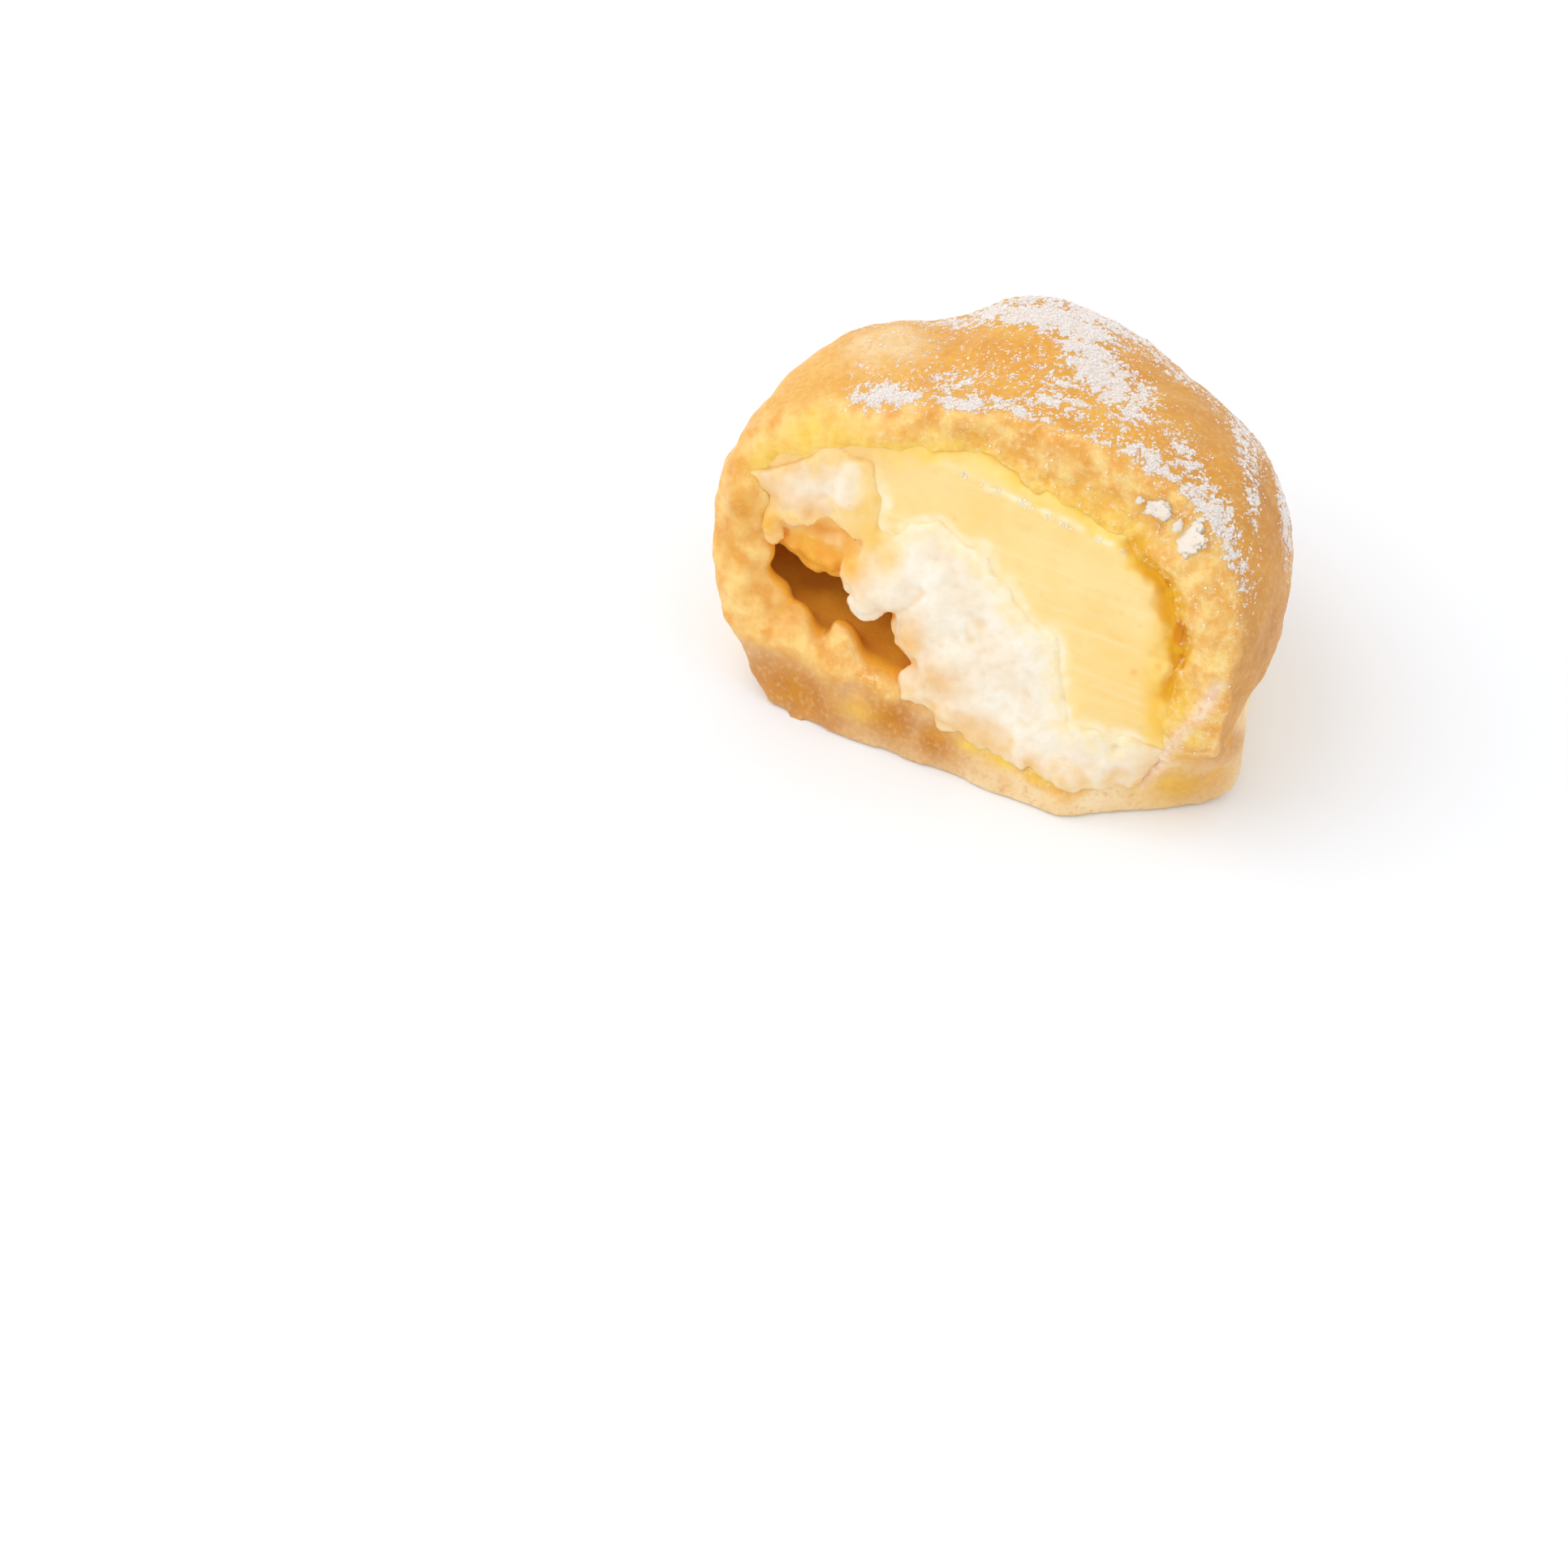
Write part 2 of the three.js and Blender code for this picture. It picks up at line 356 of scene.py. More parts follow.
# %% Crust: which part of it a place belongs to
def torn_at(p, n):
    """1 on the torn crumb of the cut, 0 on skin and inside."""
    return rises(n.dot(CUT_NORMAL), 0.25, 0.7) * (1.0 - rises(cut_depth(p), 1.6, 3.6))


def outer_at(p, n):
    """1 on the outside of the bun, 0 on the walls inside."""
    return rises(n.dot((p - MIDDLE).normalized()), -0.15, 0.3)


def base_at(p):
    """1 on the pale base under the lip."""
    lip = lip_height(p) + 0.8 * uneven(p, 7, 3)
    return 1.0 - rises(p.z, lip - 1.6, lip + 1.2)


# %% Crust: lumps of torn crumb, and the torn lip
SEAM = (  # the torn lip at the right
    (38.2, -20.1, 26.3), (36.6, -21.5, 21.9), (34.5, -22.3, 17.8),
    (33.3, -21.9, 14.8), (31.3, -21.7, 9.8), (29.5, -21.8, 5.9),
)
SEAM_BALLS, SEAM_RADII = 16, (0.45, 0.95)  # for each length of it
FILMS = (  # X, Z, radii across and up, depth: skin beside the lip, and dough smeared over the custard
    (33.6, 9, 4.2, 7, 1.65), (-20, 42.6, 5.5, 2.6, 1.75), (-25, 41.2, 5.5, 2.8, 1.7),
    (-30, 38.8, 5, 3.2, 1.7), (-34, 35.4, 4, 3.8, 1.7), (-36, 31, 2.6, 4.5, 1.7), (-14.5, 43.6, 4, 1.8, 1.8),
    (-34.8, 27.4, 3.8, 5.2, 0.8),
)
POCKET_LUMPS = (  # X, Z, radius, depth
    (-32.8, 16.8, 2.6, 3.2), (-33, 21.4, 2.4, 2.7), (-30.6, 14.4, 3.2, 3.8),
    (-34, 24.6, 1.8, 3.2), (-25, 12.6, 2.4, 3.4), (-17.6, 12.4, 2.2, 3),
)
GROOVE = ((22.5, 40.6), (27.2, 37), (30.2, 33.4), (31.8, 29), (31.6, 24))  # X, Z: custard sinks here
GROOVE_REACH = 2.6
FILM_DEEP, SEAM_SUNK = 2, 0.25  # half a film's depth, and how far the bead lies under the skin
HOLES = ((31, 31, 1.3, 2.2), (31.9, 27.6, 0.8, 0.7), (27.9, 36.6, 0.5, 0.6))  # X, Z and reaches of pits


def groove_at(p):
    """1 in the groove between the custard and the dough at the right."""
    if p.x < 18:
        return 0.0
    reach = GROOVE_REACH * (1.0 + 0.5 * uneven(p, 3.5, 30) + 0.3 * uneven(p, 1.4, 33))
    return bump(off_line(Vector((p.x, p.z)), GROOVE), 0, reach) * by_cut(p)


def pit_at(p):
    """1 in a pit of the groove."""
    if p.x < 20:
        return 0.0
    ragged = Vector((p.x + 0.5 * uneven(p, 1.6, 31), p.y, p.z + 0.5 * uneven(p, 1.6, 32)))
    return spots(ragged, [(*hole, 1) for hole in HOLES])


def on_band(p):
    """True over the filling and to the right of it, but not in the groove."""
    return p.x > -12 and p.z > 12 and (p.x > 20 or p.z > 30) and groove_at(p) < 0.6


def add_crumb(bm):
    """Lumps on the torn dough, and a ragged bead along the torn lip."""
    dice = random.Random(3)
    bm.normal_update()
    skin = BVHTree.FromBMesh(bm)
    torn = [f for f in bm.faces
            if f.normal.dot(CUT_NORMAL) > 0.8 and on_band(f.calc_center_median() / MM)]
    sink_balls(bm, torn, 210, (0.7, 2.6, 1.3), (0.65, 0.97), dice)
    for x, z, across, up, sunk in FILMS:
        add_ball(bm, on_cut(x, z, sunk) * MM, MM, 4, Matrix.Diagonal((across, FILM_DEEP, up, 1)))
    for x, z, radius, sunk in POCKET_LUMPS:
        add_ball(bm, on_cut(x, z, sunk) * MM, radius * MM, 3)
    for start, end in zip(SEAM, SEAM[1:]):
        for i in range(SEAM_BALLS):
            on_line = Vector(start).lerp(Vector(end), (i + dice.uniform(-0.4, 0.4)) / SEAM_BALLS)
            place = skin.find_nearest(on_line * MM)[0] - CUT_NORMAL * SEAM_SUNK * MM
            add_ball(bm, place, dice.uniform(*SEAM_RADII) * MM, 2)


# %% Crust: its relief
OVERLAP = {"crust": 1.2, "custard": 1.3, "cream": 1.4}  # how far each swells towards the others


def wall_share(tree, p, n):
    """Where a place on the torn crumb lies in the thickness of the dough: 0 by the filling, 1 by
    the skin."""
    if torn_at(p, n) < 0.02:
        return 1.0
    inside = p - CUT_NORMAL * 2.0
    outwards = (p - MIDDLE).normalized()
    outwards = (outwards - CUT_NORMAL * outwards.dot(CUT_NORMAL)).normalized()
    to_skin = tree.ray_cast(inside * MM, outwards, 0.02)[3]
    to_filling = tree.ray_cast(inside * MM, -outwards, 0.02)[3]
    if to_skin is None or to_filling is None:
        return 1.0
    return to_filling / (to_skin + to_filling)


def crumb_depth(p, share):
    """How far the torn crumb lies back: with the custard's slope, and over its edge."""
    slope = min(2.6, max(0, 0.9 * max(0, over_ridge(p)) - 0.6))
    left = rises(p.x, -14, -28)  # there the thin rim is rounder
    return slope * (1.0 - share) ** 1.2 + mix(1.1, 1.9, left) * share ** mix(5, 2.5, left)


def crust_form(p, n, share):
    """Sinks the torn crumb, and presses the walls inside on the filling near the cut."""
    torn = torn_at(p, n)
    pressed = OVERLAP["crust"] * (1.0 - outer_at(p, n)) * (1.0 - torn) * (1.0 - rises(cut_depth(p), 3, 7))
    sunk = torn * (crumb_depth(p, share) + 0.8 * groove_at(p) ** 3 + 1.4 * pit_at(p))
    return (sideways(p, n) * pressed - CUT_NORMAL * sunk) * rises(p.z, 0, 1.2)


def crust_relief(p, n):
    skin = 0.30 * uneven(p, 10, 1) + 0.26 * uneven(p, 4.5, 2) + 0.14 * uneven(p, 1.9, 3)
    skin += 0.16 * puffs(p, 2.8, 4)
    ripe = rises(p.x, -24, -8) * (1.0 - 0.75 * base_at(p))  # how rough the tear is
    crumb = 0.40 * uneven(p, 5, 5)
    crumb += ripe * (0.40 * uneven(p, 2.6, 6) + 0.30 * uneven(p, 1.3, 7) + 0.1)
    folds = Vector((p.x / 9, p.y / 9, p.z / 2.4))
    base = 0.45 * uneven(folds, 1, 8) + 0.12 * uneven(p, 2.2, 9)
    lining = 0.45 * uneven(p, 6, 10) + 0.15 * uneven(p, 2.5, 11)
    torn = torn_at(p, n)
    height = mix(lining, mix(skin, base, base_at(p)), outer_at(p, n))
    height = mix(height, 0, torn)  # where it is torn it moves along the cut's normal instead
    on_floor = rises(p.z, 0, 1.2)  # the underside stays flat
    return (n * height + CUT_NORMAL * torn * crumb) * on_floor


crust = finer_copy("dough_shell", "crust", voxel=0.52, smoothings=4, additions=add_crumb)
tree = tree_of(crust)
shares = on_each(crust, lambda p, n: wall_share(tree, p, n))
carve(crust, [crust_form(p, n, share) for p, n, share in zip(*all_places(crust), shares)])
melt(crust, voxel=0.52, smoothings=3)
carve(crust, on_each(crust, crust_relief))
melt(crust, voxel=0.57, smoothings=1)

# %% [markdown]
# ### Icing sugar, as a map of where it fell
# Sugar is sifted from above, so its drifts are ellipses in plan, each with an amount. Noise at the
# size of the real clots breaks their edges up.

# %% Crust: drifts of icing sugar
DRIFTS = [  # X, Y, long radius, short radius, turn in degrees, amount
    # on the hump at the back
    (-7, 14.8, 12.5, 4.6, 14, 0.44), (-1.5, 12.6, 7, 2.8, 4, 0.96), (-11.6, 13.4, 4.6, 2.8, 25, 0.34),
    (0, 9.2, 3, 1.6, 0, 0.50), (0, 19.5, 9, 3.2, 0, 0.55),
    # down the middle of the top
    (6, 7.4, 5, 2.9, -38, 0.84), (5, 4.2, 2.2, 1.7, 0, 0.76), (4.4, 0.6, 2.6, 1.3, 0, 0.36),
    (9.8, 3, 3.4, 2.2, -15, 0.62), (13.4, 6.2, 4.4, 1.7, -38, 0.34), (14.4, 1, 3.2, 2.4, -30, 0.56),
    (5, -3.4, 4.2, 2, -12, 0.34),
    # down the right shoulder
    (25.6, -5.4, 4.8, 1.9, -50, 0.50), (31.4, -10.8, 4.6, 3, -60, 0.80), (28.6, -13, 3.4, 1.6, -25, 0.74),
    (24.6, -11.8, 3, 1.3, -15, 0.42), (36, -12.5, 3.6, 2, -80, 0.36),
    # beside the cut, at the left
    (-16.4, -10.6, 5.2, 3.1, -12, 1), (-18.4, -9.8, 2.8, 2.2, 0, 0.9), (-9.5, -5, 3.4, 2.4, -30, 0.28),
    (-6.6, -8.6, 3.4, 1.4, 12, 0.54), (-0.4, -7.2, 4, 1.3, 0, 0.48), (5, -8.8, 3.2, 1.3, -24, 0.44),
    (12.5, -8.6, 5.5, 1.8, -5, 0.14), (21.2, -8.6, 4.6, 2.2, -12, 0.62),
    # the wipe marks of fingers, at the far right
    (28.4, 8.6, 8.4, 1.6, -63, 0.38), (36, 5.6, 5.4, 1.1, -62, 0.66), (33.6, -1.4, 4.4, 0.9, -62, 0.40),
    # a thin veil over the rest of the top
    (-2, -1, 16, 6.5, 0, 0.11), (17, -4, 11, 6, -25, 0.09), (14.4, 15.4, 4.4, 2.4, -12, 0.32),
    (23.5, 13, 5.4, 2.4, -42, 0.10),
    # behind the hump
    (2, 26, 15, 4, 0, 0.36), (-24, 12, 7, 3, 40, 0.16), (29, 14, 6, 2.2, -45, 0.14),
]


def drift(x, y):
    """Amount of sugar that fell at a place in plan."""
    bare = 1.0
    for middle_x, middle_y, long, short, turn, amount in DRIFTS:
        c, s = math.cos(math.radians(turn)), math.sin(math.radians(turn))
        dx, dy = x - middle_x, y - middle_y
        far = ((c * dx + s * dy) / long) ** 2 + ((c * dy - s * dx) / short) ** 2
        bare *= 1.0 - amount * math.exp(-(far ** 1.5) * 0.7)
    return 1.0 - bare


def sugar_fall(p, n):
    """The share of the surface that sugar covers at a place."""
    held = outer_at(p, n) * (1.0 - 0.95 * torn_at(p, n)) * rises(n.z, -0.1, 0.35)
    return held * mix(0.06, 1, rises(cut_depth(p), 0.2, 1.4)) * drift(p.x, p.y)


def clotting(p, fine=True):
    """Noise of the size of clots, spread evenly from 0 to 1: what lies below a number covers that
    share of the surface."""
    clots = 0.28 * uneven(p, 2.4, 13) + 0.66 * uneven(p, 1, 14)
    if fine:
        clots += 0.95 * uneven(p, 0.50, 15) + 0.70 * uneven(p, 0.27, 16)
    return 1.0 / (1.0 + math.exp(-clots / 0.27))


falls = on_each(crust, sugar_fall)
paint(crust, "fall", falls)
paint(crust, "sugar", [rises(fall - clotting(p, fine=False), -0.3, 0.3) * rises(fall, 0.02, 0.24)
                       for p, fall in zip(all_places(crust)[0], falls)])

# %% [markdown]
# ### The colour of the crust, as masks
# The colours themselves belong to the material. The mesh only says where each one goes.

# %% Crust: masks for its colours
PALE = [(178, 62, 26, 1), (200, 48, 20, 0.8), (165, 45, 14, 0.8)]  # straw-coloured, at the left
TOASTED = [  # beige-brown skin at the right and the back: partly a browner crust, partly painted shade on the side away from the lamp
    (20, 58, 20, 0.9), (-2, 82, 20, 0.9), (45, 55, 22, 0.7),
    (90, 60, 24, 0.55), (120, 75, 30, 0.6), (60, 90, 30, 0.7),
]
STAINED = ((-34.8, 28.2, 2.6, 3.4, 1), (-36, 22, 2, 4, 0.6), (-35.5, 32.5, 2, 3, 0.5))  # X, Z
AMBER = [(100, 22, 9, 0.7), (60, 14, 7, 0.8), (20, 30, 8, 0.6), (150, 28, 8, 0.5), (15, 46, 7, 0.5)]
SMEARS = [(155, 42, 5.5, 0.9), (163, 46, 5, 0.8)]  # a pale smear where a thumb held it
BAKED = (  # brown on the base at the left and round the foot: partly the base's own browning, partly painted shade low on the cut and under the lip
    (-22, 4, 14, 8, 1), (-7, 6, 8, 6, 1), (0, 5, 5, 5, 1),
    (38.5, 14, 5, 6, 0.8), (35, 5.6, 4.5, 4.5, 0.9),
)
BUTTER = (  # yellow folds under the cream, and in the crumb at the lower right
    (6, 6.4, 2.6, 1.2, 0.9), (11, 5.8, 3.4, 1.1, 1), (17, 5.3, 3.6, 1.1, 0.9), (-12, 5, 3, 1.5, 0.5),
    (33.5, 22, 2, 2.6, 0.9), (36, 18, 1.6, 2.6, 0.8), (33.4, 5.6, 4, 4, 0.55),
)


def hollow_at(p, n):
    """1 on the wall of the air pocket."""
    return (1.0 - outer_at(p, n)) * (1.0 - torn_at(p, n))


def crumb_at(p, n):
    """1 on the moist crumb of the cut, and a little over its edge."""
    over_edge = 0.8 * outer_at(p, n) * (1.0 - rises(cut_depth(p) + 0.8 * uneven(p, 3, 21), 0.6, 2.6))
    return max(torn_at(p, n), over_edge)


def spongy_at(p, n):
    """1 where the torn crumb is open: less at the left, and not on the base."""
    return torn_at(p, n) * mix(0.25, 1, rises(p.x, -24, -8)) * (1.0 - base_at(p))


paint_masks(
    crust, creases=0.7,
    pale=lambda p, n: soft_patches(PALE, p),
    toasted=lambda p, n: soft_patches(TOASTED, p),
    amber=lambda p, n: soft_patches(AMBER, p),
    stained=lambda p, n: spots(p, STAINED),
    smear=lambda p, n: soft_patches(SMEARS, p),
    torn=lambda p, n: crumb_at(p, n) * (1.0 - base_at(p)),
    spongy=spongy_at,
    base=lambda p, n: base_at(p) * (1.0 - hollow_at(p, n)),
    baked=lambda p, n: spots(p, BAKED) * (1.0 - hollow_at(p, n)),
    butter=lambda p, n: spots(p, BUTTER) * outer_at(p, n),
    # the pocket wall, whose amber is brightened into a painted glow
    hollow=hollow_at,
    # the groove and its pits get painted shade
    crevice=lambda p, n: 0.9 * rises(groove_at(p) ** 3, 0.1, 0.7),
    pit=lambda p, n: rises(pit_at(p), 0.2, 0.6),
    seam=lambda p, n: bump(off_line(p, SEAM), 0, 1),
)

# %% [markdown]
# ## The custard
# Set custard cuts like soft cheese: the knife leaves long shallow drags on a smooth face. It is a
# deeper yellow where it is thin against the dough, and painted shade darkens it there, on its walls,
# in its creases and in the groove, while its slope over the ridge gets painted light. The copy is
# swollen by a little more than the clearance, so that it meets the dough with no dark gap.

# %% Custard: its relief
DRAG = Vector((0.83, 0, -0.55))  # direction of the knife's drags on the face
ACROSS = Vector((0.55, 0, 0.83))


def face_at(p, n):
    """1 on a face that looks out of the cut."""
    return rises(n.dot(CUT_NORMAL), 0.3, 0.75)


def drags(p, width, seed):
    """Noise drawn out along the knife's way."""
    return uneven(Vector((p.dot(DRAG) / 16, 0, p.dot(ACROSS) / width)), 1, seed)


def custard_form(p, n):
    """Swells the walls, and sinks the groove and its pits."""
    face = face_at(p, n)
    sunk = 1.8 * groove_at(p) ** 2 + 1.8 * rises(pit_at(p), 0.1, 0.8)
    return sideways(p, n) * OVERLAP["custard"] * (1.0 - face) - n * face * sunk


def custard_relief(p, n, out):
    """Levels the face where it swelled, sinks what lies out of its own part, and marks it."""
    marks = 0.06 * drags(p, 1.3, 1) + 0.07 * drags(p, 3.6, 2) + 0.12 * uneven(p, 7, 3)
    marks += 0.08 * uneven(p, 1.6, 4)
    under = in_front(p) + face_at(p, n) * 0.32 * rises(out + wandering(p), -0.3, 1.2)
    return n * marks * face_at(p, n) - CUT_NORMAL * under


custard_solid = solid_tree("custard")
custard = finer_copy("custard", "custard_filling", voxel=0.36, smoothings=3)
carve(custard, on_each(custard, custard_form))
melt(custard, voxel=0.36, smoothings=2)
carve(custard, on_each(custard, lambda p, n: custard_relief(p, n, beyond(custard_solid, p))))

# %% Custard: masks for its colours
DOUGHY = ((-25, 41.5, 13, 3.6, 1), (-33, 36, 6.5, 7, 1))  # a film of dough over it


def ridge_at(p, n):
    """1 on the thin pale line where the blade left the custard's edge."""
    off = over_ridge(p) + 0.9 - 0.3 * uneven(p, 3, 6)
    length = rises(p.x, -8, -2) * rises(p.x, 25, 18)
    return bump(off, 0, 0.4) * length * rises(uneven(p, 2.4, 7), -0.5, 0.3)


def deep_at(p, n):
    """1 where the custard is thin against the dough at the right, and on its walls: a deeper yellow with
    painted shade.
    """
    edge = 27.5 + 2.2 * uneven(p, 7, 4) + 3.0 * bump(p.z, 14, 7)
    side = rises(p.x, edge - 3, edge + 3) * rises(p.z, 6, 20)
    return max(side, 1.0 - face_at(p, n))


paint_masks(
    custard, creases=0.7,
    # painted light on the slope over the ridge
    bevel=lambda p, n: rises(over_ridge(p), -0.3, 0.8),
    deep=deep_at,
    doughy=lambda p, n: spots(p, DOUGHY),
    ridge=ridge_at,
    # the groove and its pits get painted shade
    crevice=lambda p, n: 0.9 * rises(groove_at(p), 0.2, 0.8),
    pit=lambda p, n: rises(pit_at(p), 0.2, 0.6),
)

# %% [markdown]
# ## The whipped cream
# Whipped cream is foam: it breaks into rounded puffs with soft creases between them. Balls sunk in
# the face and along its edge melt into the form in the remesh and give it a puffy outline. Cell
# noise then carves smaller puffs into those.

# %% Whipped cream: puffs along the cut
PUFFS = 110
PUFF_RADII = (1.4, 4.4, 2.4)  # least, most and usual, in millimetres
LOBES = (  # X, Z, radius, sunk: the round top of the heap, and the drops that hang by the pocket
    (-8.8, 32, 3.6, 0.9), (-5.6, 32.4, 3.4, 0.9), (-2.8, 31.4, 3.2, 0.9), (-11, 29.6, 3, 0.9),
    (-15.6, 23.8, 2, 0.8), (-14, 20, 1.4, 0.9), (-12, 22.6, 2.4, 0.9),
    (-29.6, 28.4, 2, 1.5), (-27, 27.4, 2.1, 1.7), (-24.4, 26.8, 2.2, 1.8), (-21.8, 26.8, 2.2, 1.8),
    (-19.2, 27.2, 2.2, 1.7), (-16.8, 28, 2.2, 1.5), (-14.6, 29.6, 2.4, 1.2),  # a fold over the pocket
    (-30.4, 25.6, 2.2, 2.2), (-27.6, 24.6, 2.4, 2.1), (-24.6, 23.8, 2.6, 2.1), (-21.6, 23.8, 2.6, 2.1),
    (-18.8, 24.8, 2.4, 2.1), (-16.6, 26.2, 2.2, 2),
)
DIMPLE = (25.6, 12, 0.9)  # X, Z, reach of a small hole near its tip


def add_puffs(bm):
    """Sinks balls into the face that looks out of the cut, and the lobes that stand out."""
    face = [f for f in bm.faces if f.normal.dot(CUT_NORMAL) > 0.75]
    sink_balls(bm, face, PUFFS, PUFF_RADII, (0.76, 0.95), random.Random(5))
    for x, z, radius, sunk in LOBES:
        add_ball(bm, on_cut(x, z, sunk * radius) * MM, radius * MM, 3)


# %% Whipped cream: its relief
def cream_form(p, n, out):
    """Swells the walls but not the creases of the puffs, and draws the tip back."""
    outermost = max(rises(out, -0.9, -0.3), rises(cut_depth(p), 3, 4))
    walls = (1.0 - rises(n.dot(CUT_NORMAL), -0.1, 0.4)) * outermost
    tip = rises(p.x - 0.5 * p.z, 25.6, 28.6) * (1.0 - rises(p.z, 16, 20))
    tip = max(tip, rises(p.x, -30, -33) * (1.0 - rises(p.z, 30, 32.5)))
    return sideways(p, n) * OVERLAP["cream"] * walls - CUT_NORMAL * 2.6 * tip


def cream_relief(p, n, out, far):
    """Puffs, but thin and level where the blade pressed it over the custard. out is how far the
    place lies outside its own part of the cut, and far how far outside the custard's."""
    soft = 0.50 * uneven(p, 6.5, 1) + 0.22 * uneven(p, 3, 2) + 0.14 * puffs(p, 2.4, 3)
    soft += 0.18 * uneven(p, 1.3, 4) + 0.12 * puffs(p, 1.5, 5)
    level = mix(1, 0.4, rises(far, 0.8, 6))
    under = in_front(p) - 0.05 + 0.4 * rises(out - wandering(p), -0.3, 1.6)
    dimple = bump(math.hypot(p.x - DIMPLE[0], p.z - DIMPLE[1]), 0, DIMPLE[2])
    face = rises(n.dot(CUT_NORMAL), -0.1, 0.4)
    return (n * soft * mix(1, 0.45, rises(level, 0.4, 1)) - CUT_NORMAL * (level * under + dimple)) * face


cream_solid = solid_tree("whipped_cream")
cream = finer_copy("whipped_cream", "cream_filling", voxel=0.42, smoothings=8, additions=add_puffs)
carve(cream, on_each(cream, lambda p, n: cream_form(p, n, beyond(cream_solid, p))))
melt(cream, voxel=0.42, smoothings=4)
carve(cream, on_each(cream, lambda p, n: cream_relief(
    p, n, beyond(cream_solid, p), beyond(custard_solid, p))))

# %% Whipped cream: masks for its colours
PEACHY = (  # where the cream is thin over the dough, and painted warm shade at the lower left of the heap
    (-29.6, 30.4, 4.6, 3.4, 0.85), (-24.2, 30.4, 4.6, 2.6, 1), (-25.6, 36.4, 4, 2.6, 0.5),
    (-33.6, 33, 3, 5, 0.8), (-19.6, 31, 3.4, 2.4, 0.7), (-1.4, 13.8, 4, 2.8, 1),
    (5.6, 9.6, 4.4, 1.6, 0.9), (-6.6, 18.6, 2.6, 3.4, 0.9), (31, 9.5, 3, 3, 0.6),
)
TONGUE = ((-15.6, 34.4, 2.6, 3.4, 0.9), (-14.2, 30.6, 2.6, 3, 1), (-11.8, 28.2, 2, 2, 0.8))  # custard on it
FOLD = (  # the film over the pocket, an orange strand of dough, and the thin foot of the heap beside it, with painted shade of the pocket on the cream
    (-25, 24.6, 8, 4.2, 1), (-17.6, 25.4, 4, 4, 1), (-30.4, 26.6, 3, 3.2, 1),
    (-5.8, 17, 1.8, 2, 0.5),
)
WHITEST = ((-27, 33.4, 5.6, 3.8, 1), (-20.4, 35.4, 4.6, 3.2, 1), (-31, 31.6, 3, 2.8, 0.8))  # X, Z


def filmy_at(p, n):
    """1 where the cream at the left is a film that the custard shows through."""
    patch = rises(p.x, -12, -16) * rises(p.z, 27, 29)
    return patch * rises(spots(p, WHITEST) + 0.30 * uneven(p, 2.4, 60), 0.60, 0.25)


def lined_at(p, n):
    """1 on the cream's wall in the air pocket, where the pocket's warm shade is painted in orange."""
    pocket = rises(p.x, 3, -3) * rises(p.z, 33, 28)
    return pocket * rises(cut_depth(p), 0.6, 3.5)


paint_masks(
    cream, creases=0.6,
    lined=lined_at,
    filmy=filmy_at,
    peachy=lambda p, n: spots(p, PEACHY),
    tongue=lambda p, n: spots(p, TONGUE),
    fold=lambda p, n: spots(p, FOLD),
)

# %% [markdown]
# ## Where the three meet
# Custard soaks into crumb and smears into cream, so no colour on the real thing stops at a line.
# Each piece is measured against its neighbours, and its colour drifts towards theirs at the edge.

# %% How close each piece is to its neighbours
def paint_meeting(piece, name, other, reach, ragged=0.35):
    """Paints 1 where it touches the other piece, down to 0 at a ragged edge some millimetres off."""
    tree = tree_of(other)
    values = []
    for v in piece.data.vertices:
        far = tree.find_nearest(v.co, reach * MM)[3]
        share = 0.0 if far is None else 1.0 - far / (reach * MM)
        values.append(rises(share + ragged * share * uneven(v.co / MM, 1.8, 40), 0.05, 0.95))
    paint(piece, name, values)


paint_meeting(crust, "soaked", custard, 2)
paint_meeting(custard, "by_dough", crust, 2.6)
paint_meeting(custard, "by_cream", cream, 1.8, ragged=0.6)
paint_meeting(cream, "by_custard", custard, 2.8, ragged=0.6)
# near the dough the cream gets a warm tint: partly the dough through thin cream, partly painted light bounced
# from it
paint_meeting(cream, "by_dough", crust, 4)

# %% [markdown]
# ## Materials
# Food is mostly water, fat and starch: light goes in, scatters and comes out warmer, which is what
# subsurface scattering does. Its depth for each colour is a real length, a millimetre or two.

# %% Colours and nodes
def colour(code):
    """The linear numbers of an sRGB colour written as #RRGGBB."""
    parts = [int(code[i : i + 2], 16) / 255 for i in (1, 3, 5)]
    linear = [c / 12.92 if c <= 0.04045 else ((c + 0.055) / 1.055) ** 2.4 for c in parts]
    return (*linear, 1.0)


def add(tree, kind, sockets=None, **settings):
    """A new shader node of a kind. sockets maps an input's name or number to a value, to a node
    whose first output in use feeds it, or to an output. settings are its options."""
    made = tree.nodes.new("ShaderNode" + kind)
    for name, value in settings.items():
        setattr(made, name, value)
    for key, value in (sockets or {}).items():
        if isinstance(key, int):
            socket = made.inputs[key]
        else:
            socket = next(s for s in made.inputs if s.enabled and s.name == key)
        if isinstance(value, bpy.types.Node):
            value = next(s for s in value.outputs if s.enabled)
        if isinstance(value, bpy.types.NodeSocket):
            tree.links.new(value, socket)
        else:
            socket.default_value = value
    return made


def finish_for(name):
    """A new material with its tree, its main shader and its Object coordinates."""
    material = bpy.data.materials.new(name)
    material.use_nodes = True
    tree = material.node_tree
    place = add(tree, "TexCoord").outputs["Object"]
    return material, tree, tree.nodes["Principled BSDF"], place


def per_metre(millimetres):
    """The Scale of a texture whose pattern repeats at a real size."""
    return 1.0 / (millimetres * MM)


def mask_of(tree, name):
    """The painted numbers of a name."""
    return add(tree, "Attribute", attribute_name=name).outputs["Fac"]


